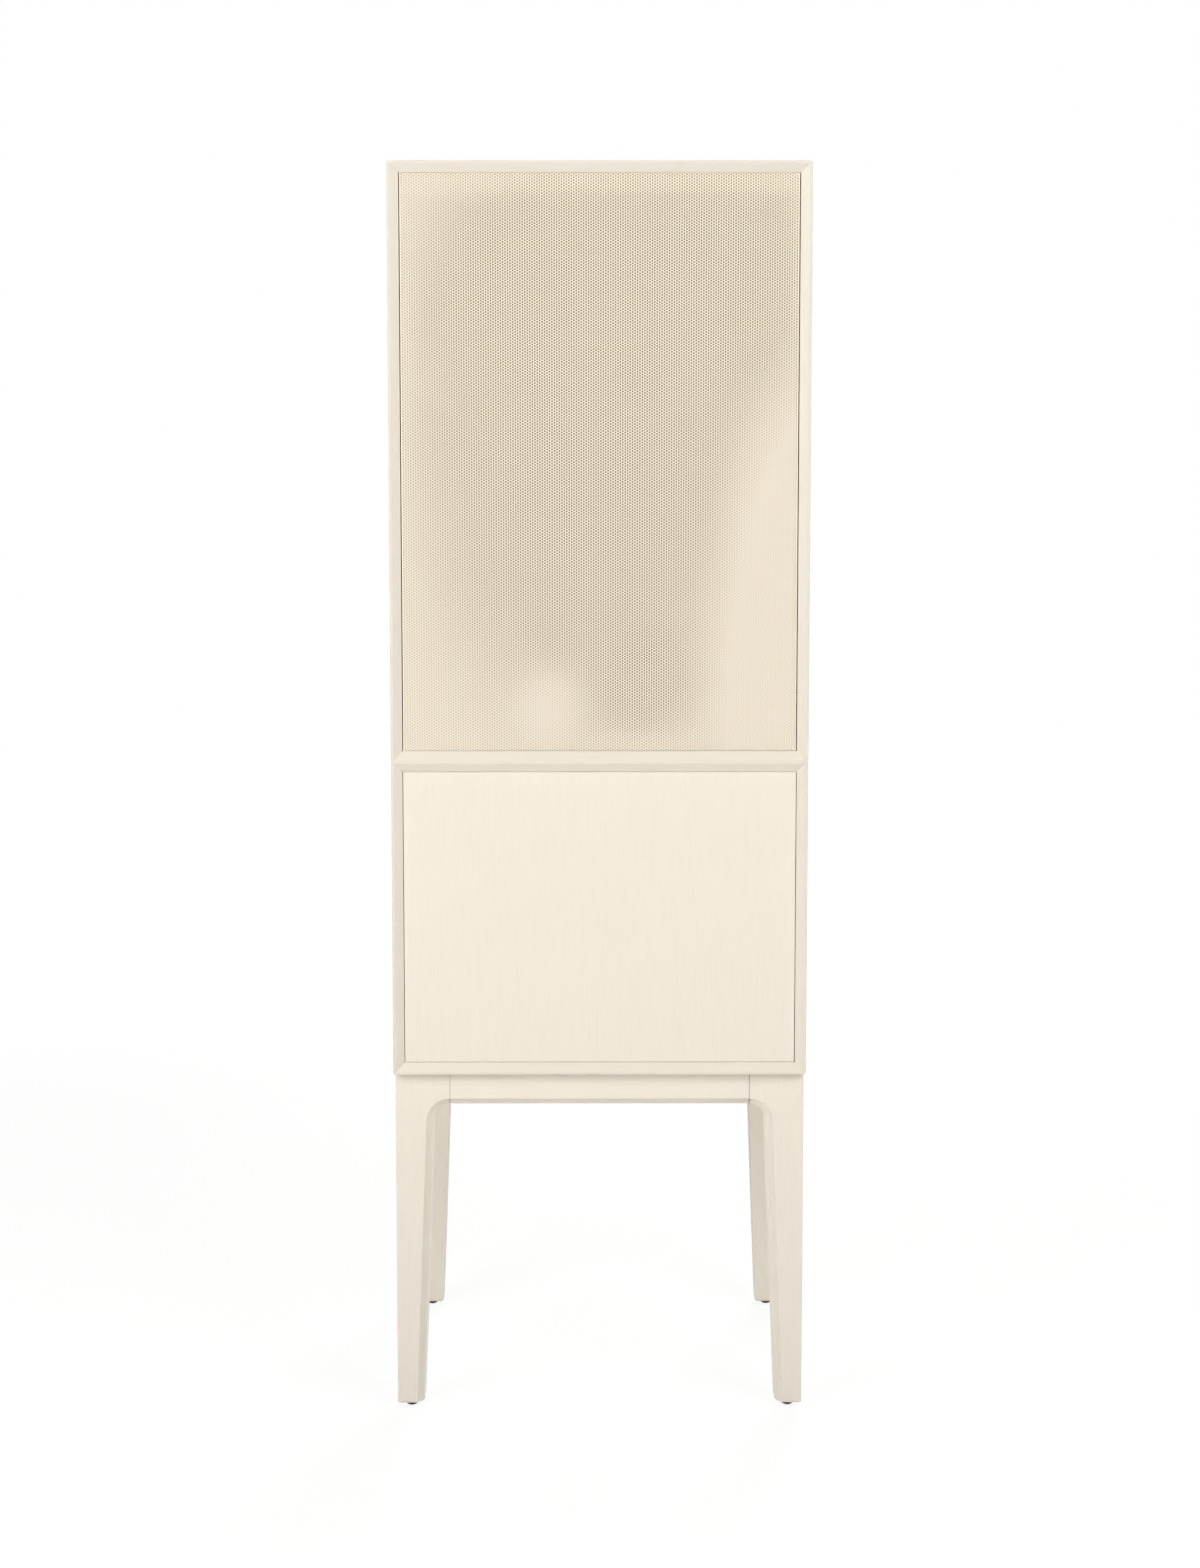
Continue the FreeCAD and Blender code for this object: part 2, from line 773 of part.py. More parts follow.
def make_case_screws():
    """Screws up through the cleats into the case."""
    under = case_low - sized("cleat_thick")
    group("case_screws", [upward_screw(x, y, under) for x, y in case_screw_spots()])


def make_apron_dowels():
    """A dowel at each end of each apron."""
    dowels = []
    along = ((1, 0, 0), (0, 1, 0), (-1, 0, 0), (0, -1, 0))
    inward, height = apron_dowel_spot()
    for side, turns, x, y, length in sides():
        for hand in (-1, 1):
            start = length / 2 * hand - sized("dowel_long") / 2
            shift = quarter_turned(turns, start, inward)
            dowels.append(cylinder(sized("dowel_radius"), sized("dowel_long"), x + shift[0],
                                   y + shift[1], height, along[turns]))
    group("apron_dowels", dowels)


def make_divider_dowels():
    """Dowels between the divider and the side panels."""
    dowels = []
    long = sized("divider_dowel_in_side") + sized("divider_dowel_in_divider")
    for hand in (-1, 1):
        start = (inner_half + sized("divider_dowel_in_side")) * hand
        for row in divider_dowel_rows():
            dowels.append(cylinder(sized("dowel_radius"), long, start, row, divider_mid, (-hand, 0, 0)))
    group("divider_dowels", dowels)


def make_glide(name, x, y):
    """Domed plastic glide with a stem up into the foot."""
    body = new_body(name)
    edge_round = sized("glide_round")
    flat = sized("glide_radius") - edge_round
    stem = sized("glide_stem_radius")
    top = sized("glide_high")
    section = sketch_on(body, "XZ_Plane")
    draw(section, [
        (ZERO, ZERO),
        (flat, ZERO),
        (sized("glide_radius"), edge_round),
        (sized("glide_radius"), top),
        (stem, top),
        (stem, top + sized("glide_stem_long")),
        (ZERO, top + sized("glide_stem_long")),
    ], arcs={1: ((flat, edge_round), edge_round)})
    revolve(body, section)
    place(body, x, y)


def make_upper_door():
    """Perforated sheet with folded returns, lined with cloth and stiffened by two channels."""
    thick = sized("sheet_thick")
    bend = sized("sheet_bend")
    outer = thick + bend
    half = upper_door_half
    body = new_body("upper_door_sheet")
    section = sketch_on(body, "XY_Plane", upper_door_low)
    draw(section, [
        (outer - half, door_front),
        (half - outer, door_front),
        (half, door_front + outer),
        (half, door_back),
        (half - thick, door_back),
        (half - thick, door_front + outer),
        (half - outer, door_front + thick),
        (outer - half, door_front + thick),
        (thick - half, door_front + outer),
        (thick - half, door_back),
        (-half, door_back),
        (-half, door_front + outer),
    ], arcs={
        1: ((half - outer, door_front + outer), outer),
        5: ((half - outer, door_front + outer), bend),
        7: ((outer - half, door_front + outer), bend),
        11: ((outer - half, door_front + outer), outer),
    })
    pad(body, section, upper_door_high - upper_door_low)
    make_lining()
    make_channel("upper_door_channel_top", upper_door_high, -1)
    make_channel("upper_door_channel_bottom", upper_door_low, 1)
    make_pivot_block("upper_door_pivot_block_top", upper_door_high - sized("pivot_in_door"))
    make_pivot_block("upper_door_pivot_block_bottom", upper_door_low + thick)
    make_pivot_pin("upper_door_pivot_top", upper_pivot, upper_door_high, True)
    make_pivot_pin("upper_door_pivot_bottom", upper_pivot, upper_door_low, False)
    make_strike("upper_door_strike", upper_roof)


def make_lining():
    """Cloth behind the perforated sheet, flat at its glued ends and bellied between them."""
    body = new_body("upper_door_lining")
    belly = sized("lining_belly")
    near = door_front + sized("sheet_thick")
    far = near + sized("lining_thick")
    low = upper_door_low + sized("lining_gap")
    high = upper_door_high - sized("lining_gap")
    belly_low = low + sized("lining_glued_high")
    belly_high = high - sized("lining_glued_high")
    reach = (belly_high - belly_low) / 2
    radius = (reach * reach + belly * belly) / (belly * 2)
    middle = (low + high) / 2
    section = sketch_on(body, "YZ_Plane")
    draw(section, [
        (near, low),
        (near, belly_low),
        (near, belly_high),
        (near, high),
        (far, high),
        (far, belly_high),
        (far, belly_low),
        (far, low),
    ], arcs={
        1: ((near + belly - radius, middle), radius),
        5: ((far + belly - radius, middle), radius),
    })
    side = upper_door_half - sized("sheet_thick") - sized("sheet_bend") - sized("lining_gap")
    pad(body, section, side * 2, side="Symmetric")


def make_channel(name, end, hand):
    """Folded channel that clamps the lining. hand points from the door's end into the door."""
    thick = sized("sheet_thick")
    deep = sized("channel_high") * hand
    web = thick * hand
    near = door_front + thick + sized("lining_thick")
    body = new_body(name)
    section = sketch_on(body, "YZ_Plane")
    draw(section, [
        (near, end),
        (door_back, end),
        (door_back, end + deep),
        (door_back - thick, end + deep),
        (door_back - thick, end + web),
        (near + thick, end + web),
        (near + thick, end + deep),
        (near, end + deep),
    ])
    pad(body, section, (upper_door_half - thick - sized("channel_gap")) * 2, side="Symmetric")
    drill(body, "XY_Plane", end, [upper_pivot], pin_hole_radius, thick, reverse=hand > 0)


def make_pivot_block(name, low):
    """Steel block inside a channel that holds a pivot pin."""
    thick = sized("sheet_thick")
    body = new_body(name)
    left = thick + sized("channel_gap") - upper_door_half
    near = door_front + thick * 2 + sized("lining_thick")
    outline = sketch_on(body, "XY_Plane", low)
    draw_rectangle(outline, left, near, left + sized("pivot_block_wide"), door_back - thick)
    long = sized("pivot_in_door") - thick
    pad(body, outline, long)
    drill(body, "XY_Plane", low, [upper_pivot], pin_hole_radius, long, reverse=True)


def make_strike(name, roof):
    """Thin steel plate on the back of a door that the push latch bears on."""
    plate = doc.addObject("Part::Box", name)
    plate.Label = name
    bind(plate, "Length", sized("strike_wide"))
    bind(plate, "Width", sized("strike_thick"))
    bind(plate, "Height", sized("strike_high"))
    low = roof - latch_drop - sized("strike_high") / 2
    place(plate, latch_x - sized("strike_wide") / 2, door_back, low)
    parts.append(plate)


def make_lower_door():
    """Plain panel with eased front edges, drilled for its pivot pins."""
    body = new_body("lower_door_panel")
    round_size = sized("door_edge_round")
    outline = sketch_on(body, "XZ_Plane", -door_front)
    draw_rectangle(outline, -lower_door_half, lower_door_low, lower_door_half, lower_door_high)
    panel = pad(body, outline, sized("door_thick"), reverse=True)
    doc.recompute()
    rim = []
    for number, edge in enumerate(panel.Shape.Edges, start=1):
        if all(abs(vertex.Y - door_front.value) < sized("wood_gap").value for vertex in edge.Vertexes):
            rim.append(f"Edge{number}")
    eased = body.newObject("PartDesign::Fillet", "EasedFront")
    eased.Base = (panel, rim)
    bind(eased, "Radius", round_size)
    deep = sized("pivot_in_door") + sized("wood_gap")
    drill(body, "XY_Plane", lower_door_low, [lower_pivot], pin_hole_radius, deep, reverse=True)
    drill(body, "XY_Plane", lower_door_high, [lower_pivot], pin_hole_radius, deep)
    make_pivot_pin("lower_door_pivot_top", lower_pivot, lower_door_high, True)
    make_pivot_pin("lower_door_pivot_bottom", lower_pivot, lower_door_low, False)
    make_strike("lower_door_strike", divider_low)


def make_latch(name, roof):
    """Push latch: a flanged body under a board, and the plunger that slides in it."""
    body = new_body(f"latch_body_{name}")
    flange = sized("latch_flange_wide") / 2
    block = sized("latch_block_wide") / 2
    ledge = roof - sized("latch_flange_thick")
    low = roof - sized("latch_high")
    section = sketch_on(body, "XZ_Plane", -latch_front)
    draw(section, [
        (latch_x - flange, roof),
        (latch_x + flange, roof),
        (latch_x + flange, ledge),
        (latch_x + block, ledge),
        (latch_x + block, low),
        (latch_x - block, low),
        (latch_x - block, ledge),
        (latch_x - flange, ledge),
    ])
    pad(body, section, sized("latch_long"), reverse=True)
    axis_height = roof - latch_drop
    bore = sized("plunger_radius") + sized("running_gap")
    drill(body, "XZ_Plane", -latch_front, [(latch_x, axis_height)], bore, sized("latch_bore_long"))

    plunger = new_body(f"latch_plunger_{name}")
    rod = sized("plunger_radius")
    cap = sized("plunger_cap_radius")
    half_section = sketch_on(plunger, "XZ_Plane")
    draw(half_section, [
        (ZERO, ZERO),
        (cap, ZERO),
        (cap, sized("plunger_cap_thick")),
        (rod, sized("plunger_cap_thick")),
        (rod, sized("plunger_long")),
        (ZERO, sized("plunger_long")),
    ])
    revolve(plunger, half_section)
    lying = FreeCAD.Rotation(FreeCAD.Vector(1, 0, 0), -90)
    place(plunger, latch_x, plunger_tip, axis_height, lying)


make_side_panel("side_panel_left", -1)
make_side_panel("side_panel_right", 1)
make_cross_panel("top_panel", case_top, upper_roof, 1, upper_pivot)
bottom_panel = make_cross_panel("bottom_panel", case_low, lower_floor, -1, lower_pivot)
make_divider()
drill(bottom_panel, "XY_Plane", case_low, case_screw_spots(), screw_hole_radius,
      sized("screw_long") - sized("cleat_thick") + sized("wood_gap"), reverse=True)
make_back()
make_divider_dowels()
for shelf_name, shelf_floor in SHELF_FLOORS.items():
    make_shelf(shelf_name, shelf_floor)

make_bush("upper_door_bush_top", upper_pivot, upper_roof, True)
make_bush("upper_door_bush_bottom", upper_pivot, divider_top, False)
make_bush("lower_door_bush_top", lower_pivot, divider_low, True)
make_bush("lower_door_bush_bottom", lower_pivot, lower_floor, False)
make_upper_door()
make_lower_door()
make_latch("upper", upper_roof)
make_latch("lower", divider_low)

corners = (
    ("front_left", -frame_half, frame_front),
    ("front_right", frame_half, frame_front),
    ("rear_right", frame_half, frame_rear),
    ("rear_left", -frame_half, frame_rear),
)
for corner_turns, (corner, corner_x, corner_y) in enumerate(corners):
    make_leg(f"leg_{corner}", corner_x, corner_y, corner_turns)
    foot_middle = sized("leg_foot_wide") / 2
    shift_x, shift_y = quarter_turned(corner_turns, foot_middle, foot_middle)
    make_glide(f"glide_{corner}", corner_x + shift_x, corner_y + shift_y)
for side, side_turns, side_x, side_y, side_length in sides():
    make_apron(side, side_turns, side_x, side_y, side_length)
    make_cleat(side, side_turns, side_x, side_y, side_length)
make_case_screws()
make_apron_dowels()

doc.recompute()
for item in doc.Objects:
    for fault in ("Invalid", "Error"):
        if fault in item.State:
            raise RuntimeError(f"{item.Label} is {fault}")
for part in parts:
    if part.Shape.isNull() or not part.Shape.isValid() or not part.Shape.Solids:
        raise RuntimeError(f"{part.Label} has no sound solid")
os.makedirs("parts", exist_ok=True)
for part in parts:
    part.Shape.exportStep(f"parts/{part.Label}.step")
whole = Part.makeCompound([part.Shape for part in parts])
box = whole.BoundBox
print(f"{len(parts)} parts, box {box.XMin:.2f} {box.YMin:.2f} {box.ZMin:.2f}"
      f" to {box.XMax:.2f} {box.YMax:.2f} {box.ZMax:.2f}")
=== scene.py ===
"""Looks of a storage cabinet: cream lacquer, a perforated steel door, small fixings and a studio.

Metres, +Z up, and the front of the cabinet faces -Y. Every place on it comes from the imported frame.
"""
import json
import math

import bmesh
import bpy
from mathutils import Matrix, Vector


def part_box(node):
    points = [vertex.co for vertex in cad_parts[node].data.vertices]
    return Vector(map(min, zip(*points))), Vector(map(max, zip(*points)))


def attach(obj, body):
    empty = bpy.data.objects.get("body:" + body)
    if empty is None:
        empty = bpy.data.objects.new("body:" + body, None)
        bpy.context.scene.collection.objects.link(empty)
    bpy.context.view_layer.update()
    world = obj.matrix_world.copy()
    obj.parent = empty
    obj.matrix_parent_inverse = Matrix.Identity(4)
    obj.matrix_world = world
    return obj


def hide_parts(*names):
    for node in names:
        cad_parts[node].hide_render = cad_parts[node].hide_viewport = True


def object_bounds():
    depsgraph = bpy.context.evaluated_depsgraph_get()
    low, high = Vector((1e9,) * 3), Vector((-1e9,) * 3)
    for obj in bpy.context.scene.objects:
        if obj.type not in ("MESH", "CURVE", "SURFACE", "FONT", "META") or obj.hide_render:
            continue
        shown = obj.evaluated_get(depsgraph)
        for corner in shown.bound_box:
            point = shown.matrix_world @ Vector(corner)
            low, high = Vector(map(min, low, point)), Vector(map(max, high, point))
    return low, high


bl_info = {
    "name": "Storage Cabinet Finish",
    "version": (1, 0, 0),
    "blender": (4, 5, 0),
    "location": "View3D > Sidebar > Cabinet",
    "description": "Lacquer, perforated steel, fixings and a studio for a storage cabinet",
    "category": "Object",
}

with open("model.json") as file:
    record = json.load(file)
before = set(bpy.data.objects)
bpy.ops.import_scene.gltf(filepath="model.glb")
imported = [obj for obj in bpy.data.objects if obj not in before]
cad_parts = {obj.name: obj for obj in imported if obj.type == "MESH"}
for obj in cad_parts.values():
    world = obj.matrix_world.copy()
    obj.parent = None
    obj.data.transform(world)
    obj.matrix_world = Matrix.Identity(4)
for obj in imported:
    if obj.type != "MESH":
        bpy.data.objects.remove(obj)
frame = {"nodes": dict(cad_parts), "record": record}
CAD_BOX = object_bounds()
SLOTS = {part["node"]: part["material_slot"] for part in frame["record"]["subparts"]}

CASE_NODES = ("side_panel_left", "side_panel_right", "top_panel", "bottom_panel", "mid_divider",
              "back_panel", "shelf_upper_low", "shelf_upper_high", "shelf_lower")
CORNERS = ("front_left", "front_right", "rear_right", "rear_left")
SIDES = ("front", "right", "rear", "left")
LEG_FRAME_NODES = (*(f"leg_{corner}" for corner in CORNERS),
                   *(f"{kind}_{side}" for kind in ("apron", "cleat") for side in SIDES))
AXES = "XYZ"
MICRON = 1e-6
WHITE = (1.0, 1.0, 1.0, 1.0)

# Scale of the grain's texture along the grain, beside 1 across it
GRAIN_STRETCH = 0.03

# Mask of painted light on the lining's front, 1 where the cloth lies against the sheet and 0 where it
# hangs back in painted shade, and how fast the mask fades as the belly grows
PAINTED_LIGHT_MASK = "painted_light_mask"
PAINTED_LIGHT_FADE = 1.25

# A steeper belly has a flatter middle and a shorter slope, and a higher power of the depth keeps its
# shallow parts close to the sheet
BELLY_STEEPNESS = 3
DEPTH_POWER = 3

# Soft bellies of the lining, and the places where it is pulled back to the sheet: across, up, half
# width and half height as shares of the lining, and depth as a share of the deepest belly
BELLY_SHARES = (
    (0.47, 0.62, 0.50, 0.66, 0.78),
    (0.35, 0.80, 0.27, 0.14, 0.25),
    (0.90, 0.86, 0.22, 0.22, 0.40),
    (0.62, 0.12, 0.12, 0.10, 0.30),
    (0.98, 0.23, 0.18, 0.36, -0.50),
    (0.37, 0.08, 0.09, 0.07, -0.35),
)

# Rings of a small screw's head: radius as a share of its half width, and height as a share of its rise
HEAD_RING_SHARES = ((1.0, 0.0), (1.0, 0.35), (0.86, 0.8), (0.66, 1.0))

# Cross recess: reach and half width of its arms as shares of the head's half width, its depth as a
# share of the head's rise, and its floor as a share of its mouth
CROSS_ARM_SHARE = 0.52
CROSS_SLOT_SHARE = 0.15
CROSS_DEPTH_SHARE = 0.7
CROSS_FLOOR_SHARE = 0.7

# Places of a latch's screws, inwards from its sides, ends and top, as shares of the latch
LATCH_SIDE_SHARE = 1 / 8
LATCH_END_SHARE = 1 / 6
LATCH_TOP_SHARE = 1 / 5


class CabinetFinishSettings(bpy.types.PropertyGroup):
    """Colours of the finishes, with painted light and shade on the lining, the case's boards and the
    joints, the lacquer's grain and roughness, and the easing of the edges.
    """

    lacquer: bpy.props.FloatVectorProperty(
        name="Lacquer", description="Colour of the lacquered wood",
        subtype="COLOR_GAMMA", size=3, min=0.0, max=1.0, default=(0.950, 0.922, 0.871))
    powder_coat: bpy.props.FloatVectorProperty(
        name="Powder coat", description="Colour of the painted steel door",
        subtype="COLOR_GAMMA", size=3, min=0.0, max=1.0, default=(0.985, 0.943, 0.862))
    zinc: bpy.props.FloatVectorProperty(
        name="Zinc", description="Colour of plated pins, screws and plates",
        subtype="COLOR_GAMMA", size=3, min=0.0, max=1.0, default=(0.78, 0.78, 0.77))
    black_plastic: bpy.props.FloatVectorProperty(
        name="Black plastic", description="Colour of the foot glides",
        subtype="COLOR_GAMMA", size=3, min=0.0, max=1.0, default=(0.035, 0.035, 0.037))
    grey_plastic: bpy.props.FloatVectorProperty(
        name="Grey plastic", description="Colour of the latches and bushes",
        subtype="COLOR_GAMMA", size=3, min=0.0, max=1.0, default=(0.62, 0.62, 0.60))
    # Painted shade and light: the lining colour darkens the cloth's front where it hangs back, and the
    # margin colour lightens it where it lies against the sheet
    lining: bpy.props.FloatVectorProperty(
        name="Lining", description="Colour of the cloth where it hangs back from the painted sheet",
        subtype="COLOR_GAMMA", size=3, min=0.0, max=1.0, default=(0.62, 0.53, 0.385))
    lining_painted_light: bpy.props.FloatVectorProperty(
        name="Lining margin", description="Colour of the cloth where it lies against the painted sheet",
        subtype="COLOR_GAMMA", size=3, min=0.0, max=1.0, default=(0.965, 0.952, 0.94))
    lining_back: bpy.props.FloatVectorProperty(
        name="Lining back", description="Colour of the cloth's back, seen when the door is open",
        subtype="COLOR_GAMMA", size=3, min=0.0, max=1.0, default=(0.87, 0.82, 0.73))
    beech: bpy.props.FloatVectorProperty(
        name="Beech", description="Colour of the bare beech cleats and dowels",
        subtype="COLOR_GAMMA", size=3, min=0.0, max=1.0, default=(0.80, 0.66, 0.50))
    # Painted shade: the case's boards take a darker copy of the lacquer than the door and the legs
    board_painted_shade: bpy.props.FloatProperty(
        name="Board tone", description="How light the case's boards are beside the door and the legs",
        min=0.0, max=1.1, default=0.93)
    lacquer_roughness: bpy.props.FloatProperty(
        name="Lacquer roughness", description="Roughness of the matte lacquer",
        subtype="FACTOR", min=0.0, max=1.0, default=0.42)
    grain_strength: bpy.props.FloatProperty(
        name="Grain strength", description="How much the wood grain shows through the lacquer",
        subtype="FACTOR", min=0.0, max=1.0, default=0.036)
    board_ease: bpy.props.FloatProperty(
        name="Board ease", description="Width of the sanded easing on the edges of the case",
        unit="LENGTH", min=0.0, default=0.0004)
    leg_ease: bpy.props.FloatProperty(
        name="Leg ease", description="Width of the sanded easing on the edges of the leg frame",
        unit="LENGTH", min=0.0, default=0.0008)
    cove_rise: bpy.props.FloatProperty(
        name="Cove rise", description="Height of the cove along the lower edge of each apron",
        unit="LENGTH", min=0.0, default=0.010)
    # Painted shade: a dark copy of the lacquer stands in for the shade deep in each leg's joint
    joint_painted_shade: bpy.props.FloatProperty(
        name="Joint tone", description="How light the shaded line in a leg's joint is, beside the lacquer",
        subtype="FACTOR", min=0.0, max=1.0, default=0.2)


class CabinetSheetSettings(bpy.types.PropertyGroup):
    """Sizes of the perforated steel sheet, and of the cloth behind it."""

    pitch: bpy.props.FloatProperty(
        name="Pitch", description="Distance between holes in a column",
        unit="LENGTH", min=0.0005, default=0.004)
    hole: bpy.props.FloatProperty(
        name="Hole", description="Diameter of a hole",
        unit="LENGTH", min=0.0002, default=0.0025)
    sheet_thick: bpy.props.FloatProperty(
        name="Sheet thickness", description="Thickness of the steel",
        unit="LENGTH", min=0.0001, default=0.001)
    bend: bpy.props.FloatProperty(
        name="Inner bend", description="Inner radius of the folded edges",
        unit="LENGTH", min=0.0, default=0.0005)
    bands: bpy.props.IntProperty(
        name="Bands", description="Number of meshes that the perforated sheet is divided into",
        min=1, default=8)
    bend_steps: bpy.props.IntProperty(
        name="Bend steps", description="Flat steps round each folded edge", min=1, default=8)
    lining_thick: bpy.props.FloatProperty(
        name="Lining thickness", description="Thickness of the cloth behind the sheet",
        unit="LENGTH", min=0.0001, default=0.0007)
    lining_rest: bpy.props.FloatProperty(
        name="Lining rest", description="Gap between the sheet and the cloth where it lies flat",
        unit="LENGTH", min=0.0, default=0.00005)
    lining_glued: bpy.props.FloatProperty(
        name="Lining glued", description="Width of cloth held flat along the top and the bottom",
        unit="LENGTH", min=0.001, default=0.018)
    lining_side_glued: bpy.props.FloatProperty(
        name="Lining side glued", description="Width of cloth held flat along the two sides",
        unit="LENGTH", min=0.001, default=0.0045)
    lining_belly: bpy.props.FloatProperty(
        name="Lining belly", description="How far the cloth hangs back from the sheet",
        unit="LENGTH", min=0.0, default=0.006)
    lining_cell: bpy.props.FloatProperty(
        name="Lining cell", description="Size of the faces of the cloth",
        unit="LENGTH", min=0.001, default=0.006)


class CabinetFixingSettings(bpy.types.PropertyGroup):
    """Sizes of the small screws."""

    screw_head: bpy.props.FloatProperty(
        name="Screw head", description="Diameter of a small screw's head",
        unit="LENGTH", min=0.001, default=0.006)
    screw_rise: bpy.props.FloatProperty(
        name="Head height", description="How far a screw's head stands proud",
        unit="LENGTH", min=0.0001, default=0.0014)
    screw_spacing: bpy.props.FloatProperty(
        name="Screw spacing", description="Distance between screws round the back panel",
        unit="LENGTH", min=0.02, default=0.19)
    screw_from_edge: bpy.props.FloatProperty(
        name="Screw from edge", description="Distance of the screws from the back panel's edge",
        unit="LENGTH", min=0.001, default=0.004)


class CabinetStageSettings(bpy.types.PropertyGroup):
    """Camera, lamps, background and floor."""

    camera_place: bpy.props.FloatVectorProperty(
        name="Camera place", description="Where the camera stands",
        subtype="TRANSLATION", size=3, default=(-0.0055, -3.2314, 1.3381))
    camera_pitch: bpy.props.FloatProperty(
        name="Camera pitch", description="How far the camera looks down",
        subtype="ANGLE", default=0.0789)
    camera_yaw: bpy.props.FloatProperty(
        name="Camera yaw", description="How far the camera turns to its right",
        subtype="ANGLE", default=0.0020)
    focal_pixels: bpy.props.FloatProperty(
        name="Focal length", description="Focal length in pixels of the 1200 pixel wide picture",
        min=100.0, default=2107.1)
    axis_row: bpy.props.FloatProperty(
        name="Axis row", description="Picture row that the camera's axis meets",
        default=667.4)
    picture_wide: bpy.props.FloatProperty(
        name="Picture width", description="Width of the picture in pixels", default=1200.0)
    picture_high: bpy.props.FloatProperty(
        name="Picture height", description="Height of the picture in pixels", default=1568.0)
    floor_size: bpy.props.FloatProperty(
        name="Floor size", description="Width of the floor", unit="LENGTH", default=16.0)
    sky_strength: bpy.props.FloatProperty(
        name="Sky strength", description="Strength of the light from all round", default=0.2)
    key_place: bpy.props.FloatVectorProperty(
        name="Key place", description="Where the large lamp in front on the left stands",
        subtype="TRANSLATION", size=3, default=(-2.44, -2.40, 2.41))
    key_power: bpy.props.FloatProperty(
        name="Key power", description="Power of the lamp on the left, in watts", default=67.0)
    fill_place: bpy.props.FloatVectorProperty(
        name="Fill place", description="Where the large lamp in front on the right stands",
        subtype="TRANSLATION", size=3, default=(2.13, -2.33, 2.91))
    fill_power: bpy.props.FloatProperty(
        name="Fill power", description="Power of the lamp on the right, in watts", default=54.0)
    top_place: bpy.props.FloatVectorProperty(
        name="Top place", description="Where the lamp above the object hangs",
        subtype="TRANSLATION", size=3, default=(0.0, 0.5, 4.3))
    top_power: bpy.props.FloatProperty(
        name="Top power", description="Power of the lamp above, in watts", default=9.0)
    back_place: bpy.props.FloatVectorProperty(
        name="Back place", description="Where the lamp behind the object stands",
        subtype="TRANSLATION", size=3, default=(0.9, 3.2, 2.4))
    back_power: bpy.props.FloatProperty(
        name="Back power", description="Power of the lamp behind, in watts", default=75.0)
    spot_place: bpy.props.FloatVectorProperty(
        name="Spot place", description="Where the spot that lights the floor in front hangs",
        subtype="TRANSLATION", size=3, default=(0.0, -2.0, 2.4))
    spot_power: bpy.props.FloatProperty(
        name="Spot power", description="Power of the spot over the floor, in watts", default=330.0)
    spot_angle: bpy.props.FloatProperty(
        name="Spot angle", description="Angle of the spot's cone, which misses the object",
        subtype="ANGLE", default=math.radians(62))
    lamp_size: bpy.props.FloatProperty(
        name="Lamp size", description="Width of each square lamp", unit="LENGTH", default=1.8)
    lamp_colour: bpy.props.FloatVectorProperty(
        name="Lamp colour", description="Colour of every lamp",
        subtype="COLOR", size=3, min=0.0, max=1.0, default=(1.0, 0.985, 0.96))
    floor_tone: bpy.props.FloatProperty(
        name="Floor tone", description="How light the floor is for the light that falls on it",
        subtype="FACTOR", min=0.0, max=1.0, default=0.85)
    floor_white: bpy.props.FloatProperty(
        name="Floor white", description="Strength of the white in the floor that the camera sees",
        min=0.0, default=1.075)
    floor_glow: bpy.props.FloatProperty(
        name="Floor glow", description="Share of plain white in the floor that is seen near the object",
        subtype="FACTOR", min=0.0, max=1.0, default=0.80)
    floor_fade: bpy.props.FloatVectorProperty(
        name="Floor fade", description="Distances from the object where plain white gains and takes over",
        size=2, default=(1.5, 4.0))


def linear(colour):
    """Linear light of a display colour, with an alpha of 1."""
    low, knee, scale, offset, power = 12.92, 0.04045, 1.055, 0.055, 2.4
    channels = [c / low if c <= knee else ((c + offset) / scale) ** power for c in colour]
    return (*channels, 1.0)


def new_group(name, inputs, outputs):
    """A shader group with named sockets, and its inner input and output nodes."""
    tree = bpy.data.node_groups.new(name, "ShaderNodeTree")
    for socket_name, kind, default in inputs:
        socket = tree.interface.new_socket(socket_name, in_out="INPUT", socket_type=kind)
        socket.default_value = default
    for socket_name, kind in outputs:
        tree.interface.new_socket(socket_name, in_out="OUTPUT", socket_type=kind)
    return tree, tree.nodes.new("NodeGroupInput"), tree.nodes.new("NodeGroupOutput")


def maths(tree, operation, *values):
    """A Math node on sockets or numbers, and its result."""
    node = tree.nodes.new("ShaderNodeMath")
    node.operation = operation
    for socket, value in zip(node.inputs, values):
        if isinstance(value, bpy.types.NodeSocket):
            tree.links.new(value, socket)
        else:
            socket.default_value = value
    return node.outputs[0]


def noise(tree, vector, scale, detail):
    """A Noise Texture's value at a place."""
    node = tree.nodes.new("ShaderNodeTexNoise")
    tree.links.new(vector, node.inputs["Vector"])
    tree.links.new(scale, node.inputs["Scale"])
    node.inputs["Detail"].default_value = detail
    return node.outputs["Fac"]


def tinted(tree, colour, factor):
    """A colour made lighter or darker by a factor."""
    node = tree.nodes.new("ShaderNodeVectorMath")
    node.operation = "SCALE"
    tree.links.new(colour, node.inputs[0])
    tree.links.new(factor, node.inputs["Scale"])
    return node.outputs[0]


def object_place(tree):
    """Place on the object, in metres."""
    return tree.nodes.new("ShaderNodeTexCoord").outputs["Object"]


